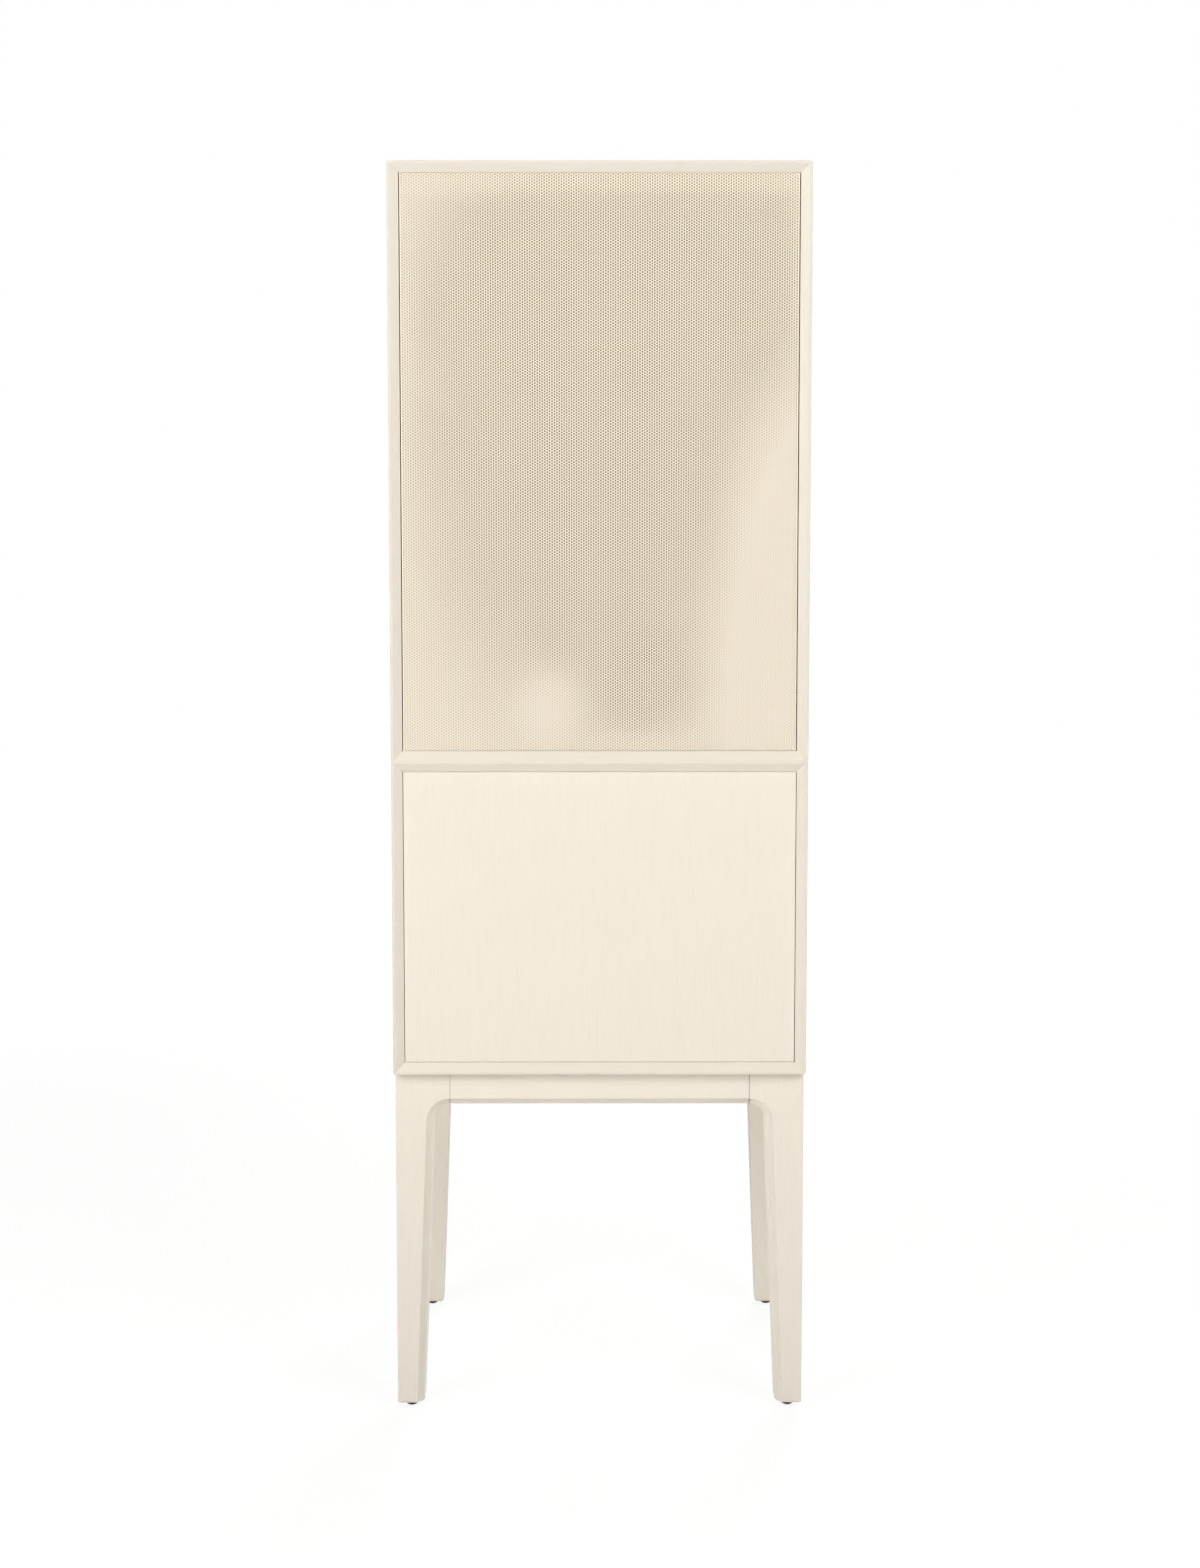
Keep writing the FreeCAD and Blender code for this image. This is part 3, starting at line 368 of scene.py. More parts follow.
def cloud_group():
    """Slow unevenness of a sprayed finish, in colour and in roughness."""
    tree, given, result = new_group(
        "Cloudy Finish",
        [("Colour", "NodeSocketColor", WHITE), ("Scale", "NodeSocketFloat", 4.0),
         ("Tone", "NodeSocketFloat", 0.02), ("Roughness", "NodeSocketFloat", 0.5),
         ("Roughness Spread", "NodeSocketFloat", 0.05)],
        [("Colour", "NodeSocketColor"), ("Roughness", "NodeSocketFloat")])
    middle = 0.5
    cloud = noise(tree, object_place(tree), given.outputs["Scale"], detail=2.0)
    swing = maths(tree, "SUBTRACT", cloud, middle)
    tone = maths(tree, "MULTIPLY_ADD", swing, given.outputs["Tone"], 1.0)
    roughness = maths(tree, "MULTIPLY_ADD", swing, given.outputs["Roughness Spread"],
                      given.outputs["Roughness"])
    tree.links.new(tinted(tree, given.outputs["Colour"], tone), result.inputs["Colour"])
    tree.links.new(roughness, result.inputs["Roughness"])
    return tree


def grain_lines(axis):
    """Stretch of the grain that runs along an axis."""
    return tuple(GRAIN_STRETCH if letter == axis else 1.0 for letter in AXES)


def grain_group():
    """Fine wood grain along one direction: darker pores and their depth."""
    tree, given, result = new_group(
        "Wood Grain",
        [("Colour", "NodeSocketColor", WHITE), ("Lines", "NodeSocketVector", grain_lines("Z")),
         ("Scale", "NodeSocketFloat", 900.0), ("Strength", "NodeSocketFloat", 0.03)],
        [("Colour", "NodeSocketColor"), ("Depth", "NodeSocketFloat")])
    pore_starts, pore_full = 0.48, 0.72
    stretched = tree.nodes.new("ShaderNodeVectorMath")
    stretched.operation = "MULTIPLY"
    tree.links.new(object_place(tree), stretched.inputs[0])
    tree.links.new(given.outputs["Lines"], stretched.inputs[1])
    streaks = noise(tree, stretched.outputs[0], given.outputs["Scale"], detail=3.0)
    pores = tree.nodes.new("ShaderNodeMapRange")
    pores.inputs["From Min"].default_value = pore_starts
    pores.inputs["From Max"].default_value = pore_full
    tree.links.new(streaks, pores.inputs["Value"])
    depth = pores.outputs["Result"]
    shade = maths(tree, "SUBTRACT", 1.0, maths(tree, "MULTIPLY", depth, given.outputs["Strength"]))
    tree.links.new(tinted(tree, given.outputs["Colour"], shade), result.inputs["Colour"])
    tree.links.new(depth, result.inputs["Depth"])
    return tree


def peel_group():
    """Fine unevenness left by a spray gun, as a height."""
    tree, given, result = new_group(
        "Sprayed Surface", [("Scale", "NodeSocketFloat", 700.0)], [("Height", "NodeSocketFloat")])
    peel = noise(tree, object_place(tree), given.outputs["Scale"], detail=1.0)
    tree.links.new(peel, result.inputs["Height"])
    return tree


def weave_group():
    """Plain weave of a cloth that lies in the object's XZ plane, as a height and painted shade in the
    gaps between threads.
    """
    tree, given, result = new_group(
        "Plain Weave",
        [("Colour", "NodeSocketColor", WHITE), ("Thread", "NodeSocketFloat", 0.0006),
         ("Gap Tone", "NodeSocketFloat", 0.12)],
        [("Colour", "NodeSocketColor"), ("Height", "NodeSocketFloat")])
    place = tree.nodes.new("ShaderNodeSeparateXYZ")
    tree.links.new(object_place(tree), place.inputs[0])
    turns = maths(tree, "DIVIDE", math.pi, given.outputs["Thread"])
    across = maths(tree, "SINE", maths(tree, "MULTIPLY", place.outputs["X"], turns))
    up = maths(tree, "SINE", maths(tree, "MULTIPLY", place.outputs["Z"], turns))
    height = maths(tree, "ABSOLUTE", maths(tree, "MULTIPLY", across, up))
    # Painted shade: darker where the weave is low, between the threads
    shade = maths(tree, "MULTIPLY", maths(tree, "SUBTRACT", 1.0, height), given.outputs["Gap Tone"])
    tone = maths(tree, "SUBTRACT", 1.0, shade)
    tree.links.new(tinted(tree, given.outputs["Colour"], tone), result.inputs["Colour"])
    tree.links.new(height, result.inputs["Height"])
    return tree


def shared_group(name):
    """A shared shader group, built on first use."""
    builders = {"Cloudy Finish": cloud_group, "Wood Grain": grain_group, "Sprayed Surface": peel_group,
                "Plain Weave": weave_group}
    return bpy.data.node_groups.get(name) or builders[name]()


def place_group(tree, name, **values):
    """Put a shared group into a material with its own values."""
    node = tree.nodes.new("ShaderNodeGroup")
    node.node_tree = shared_group(name)
    for socket_name, value in values.items():
        node.inputs[socket_name.replace("_", " ")].default_value = value
    return node


def new_material(name, **sockets):
    """A material with only a Principled shader, and that shader's fixed sockets set."""
    material = bpy.data.materials.new(name)
    material.use_nodes = True
    shader = material.node_tree.nodes["Principled BSDF"]
    for socket_name, value in sockets.items():
        shader.inputs[socket_name.replace("_", " ")].default_value = value
    return material, material.node_tree, shader


def join_colour(tree, shader, clouds, texture=None):
    """Feed the shader's colour and roughness from the clouds, the colour through a texture if any."""
    colour = clouds.outputs["Colour"]
    if texture:
        tree.links.new(colour, texture.inputs["Colour"])
        colour = texture.outputs["Colour"]
    tree.links.new(colour, shader.inputs["Base Color"])
    tree.links.new(clouds.outputs["Roughness"], shader.inputs["Roughness"])


def raise_bump(tree, shader, height, distance):
    """Feed a height at full strength to the shader's normal."""
    bump = tree.nodes.new("ShaderNodeBump")
    bump.inputs["Distance"].default_value = distance
    bump.inputs["Strength"].default_value = 1.0
    tree.links.new(height, bump.inputs["Height"])
    tree.links.new(bump.outputs["Normal"], shader.inputs["Normal"])


def lacquered_wood(axis, tone):
    """Matte cream lacquer over fine grain that runs along an axis, scaled by a tone; a tone below 1 is
    painted shade on the case's boards and in the joints' dark lines.
    """
    name = f"Lacquered wood, grain along {axis}, tone {tone:.2f}"
    if name in bpy.data.materials:
        return bpy.data.materials[name]
    finish = bpy.context.scene.cabinet_finish
    pore_sink = -0.8
    material, tree, shader = new_material(name, Specular_IOR_Level=0.4)
    colour = (*(channel * tone for channel in linear(finish.lacquer)[:3]), 1.0)
    clouds = place_group(tree, "Cloudy Finish", Colour=colour, Scale=3.5, Tone=0.03,
                         Roughness=finish.lacquer_roughness, Roughness_Spread=0.12)
    grain = place_group(tree, "Wood Grain", Lines=grain_lines(axis), Scale=800.0,
                        Strength=finish.grain_strength)
    peel = place_group(tree, "Sprayed Surface", Scale=420.0)
    join_colour(tree, shader, clouds, grain)
    height = maths(tree, "MULTIPLY_ADD", grain.outputs["Depth"], pore_sink, peel.outputs["Height"])
    raise_bump(tree, shader, height, distance=30 * MICRON)
    return material


def peeled_finish(name, colour, clouds, peel_scale, peel_depth, **sockets):
    """A plain material with slow clouds in its colour and shine, and a fine uneven surface."""
    if name in bpy.data.materials:
        return bpy.data.materials[name]
    material, tree, shader = new_material(name, **sockets)
    join_colour(tree, shader, place_group(tree, "Cloudy Finish", Colour=linear(colour), **clouds))
    peel = place_group(tree, "Sprayed Surface", Scale=peel_scale)
    raise_bump(tree, shader, peel.outputs["Height"], peel_depth)
    return material


def powder_coated_steel():
    """Matte cream powder coat with a fine orange peel."""
    return peeled_finish(
        "Powder-coated steel", bpy.context.scene.cabinet_finish.powder_coat,
        clouds={"Scale": 5.0, "Tone": 0.02, "Roughness": 0.5, "Roughness_Spread": 0.1},
        peel_scale=900.0, peel_depth=30 * MICRON, Specular_IOR_Level=0.4)


def zinc_plate():
    """Bright zinc with slightly uneven shine."""
    return peeled_finish(
        "Zinc plate", bpy.context.scene.cabinet_finish.zinc,
        clouds={"Scale": 160.0, "Tone": 0.12, "Roughness": 0.32, "Roughness_Spread": 0.2},
        peel_scale=2500.0, peel_depth=10 * MICRON, Metallic=1.0)


def moulded_plastic(name, colour, roughness):
    """Moulded plastic with a faint spark-eroded texture."""
    return peeled_finish(
        name, colour,
        clouds={"Scale": 60.0, "Tone": 0.08, "Roughness": roughness, "Roughness_Spread": 0.12},
        peel_scale=2200.0, peel_depth=20 * MICRON, Specular_IOR_Level=0.45)


def bare_beech(axis):
    """Unfinished beech with its flecked grain."""
    name = f"Bare beech, grain along {axis}"
    if name in bpy.data.materials:
        return bpy.data.materials[name]
    finish = bpy.context.scene.cabinet_finish
    material, tree, shader = new_material(name, Specular_IOR_Level=0.3)
    clouds = place_group(tree, "Cloudy Finish", Colour=linear(finish.beech), Scale=30.0, Tone=0.2,
                         Roughness=0.68, Roughness_Spread=0.15)
    grain = place_group(tree, "Wood Grain", Lines=grain_lines(axis), Scale=700.0, Strength=0.28)
    join_colour(tree, shader, clouds, grain)
    sunk = maths(tree, "MULTIPLY", grain.outputs["Depth"], -1.0)
    raise_bump(tree, shader, sunk, distance=80 * MICRON)
    return material


def lining_cloth(side):
    """Cream cloth in a plain weave; its front carries painted shade where it stands off the sheet and
    painted light where it lies against it.
    """
    name = f"Lining cloth, {side}"
    if name in bpy.data.materials:
        return bpy.data.materials[name]
    finish = bpy.context.scene.cabinet_finish
    material, tree, shader = new_material(name, Specular_IOR_Level=0.2, Sheen_Weight=0.15)
    clouds = place_group(tree, "Cloudy Finish", Colour=linear(finish.lining_back), Scale=12.0, Tone=0.06,
                         Roughness=0.9, Roughness_Spread=0.1)
    # Painted shade where the cloth hangs back, mixed by the mask with painted light where it lies against
    # the sheet
    if side == "front":
        painted_light_mask = tree.nodes.new("ShaderNodeAttribute")
        painted_light_mask.attribute_name = PAINTED_LIGHT_MASK
        colour = tree.nodes.new("ShaderNodeMix")
        colour.data_type = "RGBA"
        tree.links.new(painted_light_mask.outputs["Fac"], colour.inputs["Factor"])
        colour.inputs["A"].default_value = linear(finish.lining)
        colour.inputs["B"].default_value = linear(finish.lining_painted_light)
        tree.links.new(colour.outputs["Result"], clouds.inputs["Colour"])
    weave = place_group(tree, "Plain Weave", Thread=0.0006, Gap_Tone=0.14)
    join_colour(tree, shader, clouds, weave)
    raise_bump(tree, shader, weave.outputs["Height"], distance=200 * MICRON)
    return material


def long_axis(node):
    """The axis that a node is longest along."""
    low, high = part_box(node)
    size = high - low
    return AXES[max(range(3), key=lambda index: size[index])]


def finish_for(node):
    """The material of a node, by the slot that the record gives it."""
    finish = bpy.context.scene.cabinet_finish
    slot = SLOTS[node]
    if slot == "lacquered_wood":
        grain = "Z" if node == "lower_door_panel" else long_axis(node)
        # The case's boards take the darker board tone as painted shade
        return lacquered_wood(grain, finish.board_painted_shade if node in CASE_NODES else 1.0)
    if slot == "painted_steel":
        return powder_coated_steel()
    if slot == "lining_cloth":
        return lining_cloth("back")
    if slot == "zinc_steel":
        return zinc_plate()
    if slot == "black_plastic":
        return moulded_plastic("Black plastic", finish.black_plastic, roughness=0.4)
    if slot == "grey_plastic":
        return moulded_plastic("Grey plastic", finish.grey_plastic, roughness=0.45)
    return bare_beech(long_axis(node))


def dress(node):
    """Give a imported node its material."""
    shown = frame["nodes"][node]
    shown.data.materials.clear()
    shown.data.materials.append(finish_for(node))
    return shown


def ease_edges(shown, width):
    """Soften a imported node's sharp edges with modifiers alone."""
    same_place = 5 * MICRON
    flat_below = math.radians(0.3)
    sharp_above = math.radians(25)
    weld = shown.modifiers.new("Join faces", "WELD")
    weld.merge_threshold = same_place
    flat = shown.modifiers.new("Whole faces", "DECIMATE")
    flat.decimate_type = "DISSOLVE"
    flat.angle_limit = flat_below
    ease = shown.modifiers.new("Eased edges", "BEVEL")
    ease.width = width
    ease.segments = 2
    ease.limit_method = "ANGLE"
    ease.angle_limit = sharp_above
    ease.use_clamp_overlap = False
    ease.harden_normals = False


def add_piece(name, vertices, faces, material, body):
    """A new mesh that rides on a body and wears the material that it is given."""
    mesh = bpy.data.meshes.new(name)
    mesh.from_pydata(vertices, [], faces)
    mesh.materials.append(material)
    piece = bpy.data.objects.new(name, mesh)
    bpy.context.scene.collection.objects.link(piece)
    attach(piece, body)
    return piece


def make_sound(piece):
    """Turn every face of a piece outwards."""
    solid = bmesh.new()
    solid.from_mesh(piece.data)
    bmesh.ops.recalc_face_normals(solid, faces=solid.faces)
    solid.to_mesh(piece.data)
    solid.free()


class CABINET_OT_case(bpy.types.Operator):
    """Lacquer the boards of the case and its shelves, and ease their edges"""

    bl_idname = "cabinet.case"
    bl_label = "Case boards"

    def execute(self, context):
        for node in CASE_NODES:
            ease_edges(dress(node), context.scene.cabinet_finish.board_ease)
        return {"FINISHED"}


class CABINET_OT_leg_frame(bpy.types.Operator):
    """Finish the legs, aprons and cleats, ease their edges and add dark lines of painted shade in the
    joints
    """

    bl_idname = "cabinet.leg_frame"
    bl_label = "Leg frame"

    def execute(self, context):
        for node in LEG_FRAME_NODES:
            ease_edges(dress(node), context.scene.cabinet_finish.leg_ease)
        add_joint_shade_lines()
        return {"FINISHED"}


def add_joint_shade_lines():
    """Dark lines of painted shade deep in the eased joints between the aprons and the legs."""
    finish = bpy.context.scene.cabinet_finish
    half = finish.leg_ease / 2
    faces = [(0, 1, 3, 2), (4, 6, 7, 5), (0, 4, 5, 1), (2, 3, 7, 6), (0, 2, 6, 4), (1, 5, 7, 3)]
    for side in SIDES:
        low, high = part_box(f"apron_{side}")
        along = 0 if side in ("front", "rear") else 1
        face = {"front": low.y, "rear": high.y, "left": low.x, "right": high.x}[side]
        inwards = 1 if side in ("front", "left") else -1
        for end, joint in (("start", low[along]), ("end", high[along])):
            corners = []
            for z in (low.z + finish.cove_rise, high.z - finish.leg_ease):
                for deep in (half, finish.leg_ease + half):
                    for shift in (-half, half):
                        place = (joint + shift, face + inwards * deep)
                        x, y = place if along == 0 else place[::-1]
                        corners.append((x, y, z))
            # Each line is a dark copy of the lacquer, painted shade for the shadow in the joint
            line = add_piece(f"joint_shade_{side}_{end}", corners, faces,
                             lacquered_wood("Z", finish.joint_painted_shade), "cabinet")
            make_sound(line)


class CABINET_OT_hardware(bpy.types.Operator):
    """Finish the doors, the latches and every pin, dowel, screw, bush and glide"""

    bl_idname = "cabinet.hardware"
    bl_label = "Doors and hardware"

    def execute(self, context):
        for node in frame["nodes"]:
            if node not in CASE_NODES and node not in LEG_FRAME_NODES:
                dress(node)
        return {"FINISHED"}


def ring_points(middle_across, middle_up, radius, steps):
    """Points round a circle in a plane, from the first axis towards the second."""
    points = []
    for step in range(steps):
        angle = math.tau * step / steps
        points.append((middle_across + radius * math.cos(angle), middle_up + radius * math.sin(angle)))
    return points


class PerforatedSheet:
    """Front face of a perforated sheet, in cells that tile it exactly, one hole to a cell.

    Each hole is a polygon as open as the round hole that it stands for, and stands about one pitch
    from its six neighbours.
    """

    RIM_STEPS = 8
    STAGGER = math.radians(30)

    def __init__(self, low, high, front, pitch, hole):
        self.low = low
        self.front = front
        open_share = self.RIM_STEPS / math.tau * math.sin(math.tau / self.RIM_STEPS)
        self.radius = hole / 2 / math.sqrt(open_share)
        self.columns = round((high[0] - low[0]) / (pitch * math.cos(self.STAGGER)))
        self.rows = round((high[1] - low[1]) / pitch)
        self.step_x = (high[0] - low[0]) / self.columns
        self.step_z = (high[1] - low[1]) / self.rows / 2

    def cells(self):
        """Column and middle half-row of every cell; odd columns stand half a pitch lower."""
        for column in range(self.columns):
            for half_row in range(1 - column % 2, 2 * self.rows + 1, 2):
                yield column, half_row

    def band(self, cells):
        """Vertices and faces of some of the cells."""
        vertices, faces, corners = [], [], {}

        def corner(column, half_row):
            if (column, half_row) not in corners:
                corners[column, half_row] = len(vertices)
                vertices.append((self.low[0] + column * self.step_x, self.front,
                                 self.low[1] + half_row * self.step_z))
            return corners[column, half_row]

        for column, half_row in cells:
            centre = (self.low[0] + (column + 0.5) * self.step_x,
                      self.low[1] + half_row * self.step_z)
            start = len(vertices)
            for x, z in ring_points(*centre, self.radius, self.RIM_STEPS):
                vertices.append((x, self.front, z))
            rim = [start + step for step in range(self.RIM_STEPS)]
            west, east = corner(column, half_row), corner(column + 1, half_row)
            if half_row < 2 * self.rows:
                north_west, north_east = corner(column, half_row + 1), corner(column + 1, half_row + 1)
                faces.append((east, north_east, rim[1], rim[0]))
                faces.append((north_east, north_west, rim[3], rim[2], rim[1]))
                faces.append((north_west, west, rim[4], rim[3]))
            if half_row > 0:
                south_west, south_east = corner(column, half_row - 1), corner(column + 1, half_row - 1)
                faces.append((west, south_west, rim[5], rim[4]))
                faces.append((south_west, south_east, rim[7], rim[6], rim[5]))
                faces.append((south_east, east, rim[0], rim[7]))
        return vertices, faces


def add_folds(low, high, sheet):
    """The two folded returns of the steel door, each with its bend."""
    outer = sheet.sheet_thick + sheet.bend
    for name, hand, edge in (("left", -1, low.x), ("right", 1, high.x)):
        profile = []
        for radius, steps in ((outer, range(sheet.bend_steps + 1)),
                              (sheet.bend, range(sheet.bend_steps, -1, -1))):
            for step in steps:
                angle = math.pi / 2 * step / sheet.bend_steps
                profile.append((edge - hand * (outer - radius * math.sin(angle)),
                                low.y + outer - radius * math.cos(angle)))
            if radius == outer:
                profile += [(edge, high.y), (edge - hand * sheet.sheet_thick, high.y)]
        count = len(profile)
        vertices = [(x, y, z) for z in (low.z, high.z) for x, y in profile]
        faces = [tuple(range(count)), tuple(range(2 * count - 1, count - 1, -1))]
        for index in range(count):
            after = (index + 1) % count
            faces.append((after, index, index + count, after + count))
        fold = add_piece(f"upper_door_fold_{name}", vertices, faces, powder_coated_steel(),
                         "upper_door")
        make_sound(fold)
        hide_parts("upper_door_sheet")


def lining_belly(across, up):
    """How far the lining hangs back at a place, as a share of its deepest belly."""
    depth = 0.0
    for middle_across, middle_up, half_across, half_up, share in BELLY_SHARES:
        away = math.hypot((across - middle_across) / half_across, (up - middle_up) / half_up)
        depth += share * math.exp(-(away ** BELLY_STEEPNESS))
    return min(1.0, max(0.0, depth))


def lining_freedom(distance, glued):
    """How free the lining is at a distance from its edge: 0 where it is held, rising to 1."""
    run = min(1.0, max(0.0, distance / glued - 1.0))
    return run * run * (3.0 - 2.0 * run)


def lining_depth(sheet, belly, from_end, from_side):
    """How far behind the steel the lining hangs, by its belly there and its distances from its edges."""
    free = min(lining_freedom(from_end, sheet.lining_glued),
               lining_freedom(from_side, sheet.lining_side_glued))
    return sheet.lining_rest + sheet.lining_belly * (belly * free) ** DEPTH_POWER


def add_lining(sheet):
    """Cloth behind the perforated sheet, held flat along its edges and loosely bellied between them."""
    low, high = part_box("upper_door_lining")
    wide, tall = high.x - low.x, high.z - low.z
    columns = round(wide / sheet.lining_cell)
    rows = round(tall / sheet.lining_cell)
    vertices, faces, painted_light_mask = [], [], []
    for row in range(rows + 1):
        up = row / rows
        for column in range(columns + 1):
            across = column / columns
            belly = lining_belly(across, up)
            depth = lining_depth(sheet, belly, min(up, 1.0 - up) * tall, min(across, 1.0 - across) * wide)
            vertices.append((low.x + across * wide, low.y + depth, low.z + up * tall))
            # The mask of painted light fades to painted shade as the belly deepens
            painted_light_mask.append(1.0 - min(1.0, PAINTED_LIGHT_FADE * belly))
    stride = columns + 1
    for row in range(rows):
        for column in range(columns):
            corner = row * stride + column
            faces.append((corner, corner + 1, corner + stride + 1, corner + stride))
    lining = add_piece("upper_door_lining_cloth", vertices, faces, lining_cloth("front"), "upper_door")
    lining.data.materials.append(lining_cloth("back"))
    lining.data.attributes.new(PAINTED_LIGHT_MASK, "FLOAT", "POINT").data.foreach_set("value", painted_light_mask)
    lining.data.shade_smooth()
    thick = lining.modifiers.new("Cloth thickness", "SOLIDIFY")
    thick.thickness = sheet.lining_thick
    thick.offset = -1.0
    thick.material_offset = 1
    thick.material_offset_rim = 1
    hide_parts("upper_door_lining")


class CABINET_OT_perforated_door(bpy.types.Operator):
    """Build the perforated steel sheet of the upper door with real holes, and the cloth behind it"""

    bl_idname = "cabinet.perforated_door"
    bl_label = "Perforated door"

    def execute(self, context):
        sheet = context.scene.cabinet_sheet
        low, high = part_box("upper_door_sheet")
        add_folds(low, high, sheet)
        add_lining(sheet)
        outer = sheet.sheet_thick + sheet.bend
        face = PerforatedSheet((low.x + outer, low.z), (high.x - outer, high.z), low.y,
                               sheet.pitch, sheet.hole)
        bands = [[] for _ in range(sheet.bands)]
        for column, half_row in face.cells():
            band = min(half_row * sheet.bands // (2 * face.rows), sheet.bands - 1)
            bands[band].append((column, half_row))
        for number, cells in enumerate(bands, start=1):
            vertices, faces = face.band(cells)
            piece = add_piece(f"upper_door_mesh_{number}", vertices, faces, powder_coated_steel(),
                              "upper_door")
            thick = piece.modifiers.new("Sheet thickness", "SOLIDIFY")
            thick.thickness = sheet.sheet_thick
            thick.offset = -1.0
            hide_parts("upper_door_sheet")
        return {"FINISHED"}


def cross_screw(centre, normal, head_wide, rise):
    """Vertices and faces of a raised screw head with a cross recess, facing along a normal."""
    head = bmesh.new()
    steps = 24
    half = head_wide / 2
    arm = half * CROSS_ARM_SHARE
    slot = half * CROSS_SLOT_SHARE
    floor_level = rise - rise * CROSS_DEPTH_SHARE
    rings = []
    for radius_share, rise_share in HEAD_RING_SHARES:
        ring = []
        for x, y in ring_points(0.0, 0.0, half * radius_share, steps):
            ring.append(head.verts.new((x, y, rise * rise_share)))
        rings.append(ring)
    for lower, upper in zip(rings, rings[1:]):
        for step in range(steps):
            after = (step + 1) % steps
            head.faces.new((lower[step], lower[after], upper[after], upper[step]))
    head.faces.new(rings[0][::-1])
    cross = [(arm, -slot), (arm, slot), (slot, slot), (slot, arm), (-slot, arm), (-slot, slot),
             (-arm, slot), (-arm, -slot), (-slot, -slot), (-slot, -arm), (slot, -arm), (slot, -slot)]
    top = [head.verts.new((x, y, rise)) for x, y in cross]
    floor = [head.verts.new((x * CROSS_FLOOR_SHARE, y * CROSS_FLOOR_SHARE, floor_level))
             for x, y in cross]
    count = len(cross)
    for index in range(count):
        after = (index + 1) % count
        head.faces.new((top[after], top[index], floor[index], floor[after]))
    head.faces.new(floor)
    edges = []
    for ring in (rings[-1], top):
        for pair in zip(ring, ring[1:] + ring[:1]):
            edges.append(head.edges.get(pair) or head.edges.new(pair))
    bmesh.ops.triangle_fill(head, edges=edges, use_beauty=True)
    turn = Vector((0, 0, 1)).rotation_difference(Vector(normal)).to_matrix().to_4x4()
    bmesh.ops.transform(head, matrix=Matrix.Translation(centre) @ turn, verts=head.verts)
    bmesh.ops.recalc_face_normals(head, faces=head.faces)
    head.verts.index_update()
    vertices = [tuple(vertex.co) for vertex in head.verts]
    faces = [tuple(vertex.index for vertex in face.verts) for face in head.faces]
    head.free()
    return vertices, faces


def add_screws(name, places, normal, body):
    """One piece of several like screws."""
    fixing = bpy.context.scene.cabinet_fixing
    vertices, faces = [], []
    for place in places:
        some_vertices, some_faces = cross_screw(place, normal, fixing.screw_head, fixing.screw_rise)
        start = len(vertices)
        vertices += some_vertices
        faces += [tuple(start + index for index in face) for face in some_faces]
    return add_piece(name, vertices, faces, zinc_plate(), body)


def spread(low, high, spacing):
    """Even places from low to high, no further apart than a spacing."""
    gaps = max(1, math.ceil((high - low) / spacing))
    return [low + (high - low) * index / gaps for index in range(gaps + 1)]


def back_screw_places():
    """Places of the screws round the back panel."""
    fixing = bpy.context.scene.cabinet_fixing
    low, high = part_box("back_panel")
    inset = fixing.screw_from_edge
    west, east = low.x + inset, high.x - inset
    bottom, top = low.z + inset, high.z - inset
    places = []
    for z in spread(bottom, top, fixing.screw_spacing):
        places += [(west, high.y, z), (east, high.y, z)]
    for x in spread(west, east, fixing.screw_spacing)[1:-1]:
        places += [(x, high.y, bottom), (x, high.y, top)]
    return places


class CABINET_OT_fixings(bpy.types.Operator):
    """Add the small screws of the back panel and the latches"""

    bl_idname = "cabinet.fixings"
    bl_label = "Small fixings"

    def execute(self, context):
        add_screws("back_panel_screws", back_screw_places(), (0, 1, 0), "cabinet")
        for door in ("upper", "lower"):
            low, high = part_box(f"latch_body_{door}")
            from_side = (high.x - low.x) * LATCH_SIDE_SHARE
            from_end = (high.y - low.y) * LATCH_END_SHARE
            level_z = high.z - (high.z - low.z) * LATCH_TOP_SHARE
            places = []
            for x in (low.x + from_side, high.x - from_side):
                for y in (low.y + from_end, high.y - from_end):
                    places.append((x, y, level_z))
            add_screws(f"latch_screws_{door}", places, (0, 0, -1), "cabinet")
        return {"FINISHED"}


def add_lamp(name, place, watts):
    """A large square lamp that faces the middle of the object."""
    stage = bpy.context.scene.cabinet_stage
    data = bpy.data.lights.new(name, "AREA")
    data.shape = "SQUARE"
    data.size = stage.lamp_size
    data.energy = watts
    data.color = stage.lamp_colour
    lamp = bpy.data.objects.new(name, data)
    lamp.location = place
    middle = (CAD_BOX[0] + CAD_BOX[1]) / 2
    lamp.rotation_euler = (middle - Vector(place)).to_track_quat("-Z", "Y").to_euler()
    bpy.context.scene.collection.objects.link(lamp)


def add_floor_spot(stage):
    """A soft spot that hangs over the floor in front and lights the floor alone."""
    softness_share = 1 / 8
    data = bpy.data.lights.new("Floor spot", "SPOT")
    data.energy = stage.spot_power
    data.color = stage.lamp_colour
    data.spot_size = stage.spot_angle
    data.spot_blend = 1.0
    data.shadow_soft_size = stage.lamp_size * softness_share
    spot = bpy.data.objects.new("Floor spot", data)
    spot.location = stage.spot_place
    bpy.context.scene.collection.objects.link(spot)


def seen_share(tree):
    """1 for what the camera sees straight or in gloss or glass, and 0 for light that falls on things."""
    path = tree.nodes.new("ShaderNodeLightPath")
    seen = maths(tree, "MAXIMUM", path.outputs["Is Camera Ray"], path.outputs["Is Glossy Ray"])
    return maths(tree, "MAXIMUM", seen, path.outputs["Is Transmission Ray"])


def light_world(stage):
    """White all round for the camera, and a weaker light on the object."""
    world = bpy.data.worlds.new("Studio")
    world.use_nodes = True
    bpy.context.scene.world = world
    tree = world.node_tree
    background = tree.nodes["Background"]
    background.inputs["Color"].default_value = WHITE
    strength = tree.nodes.new("ShaderNodeMix")
    strength.data_type = "FLOAT"
    tree.links.new(seen_share(tree), strength.inputs["Factor"])
    strength.inputs["A"].default_value = stage.sky_strength
    strength.inputs["B"].default_value = 1.0
    tree.links.new(strength.outputs["Result"], background.inputs["Strength"])


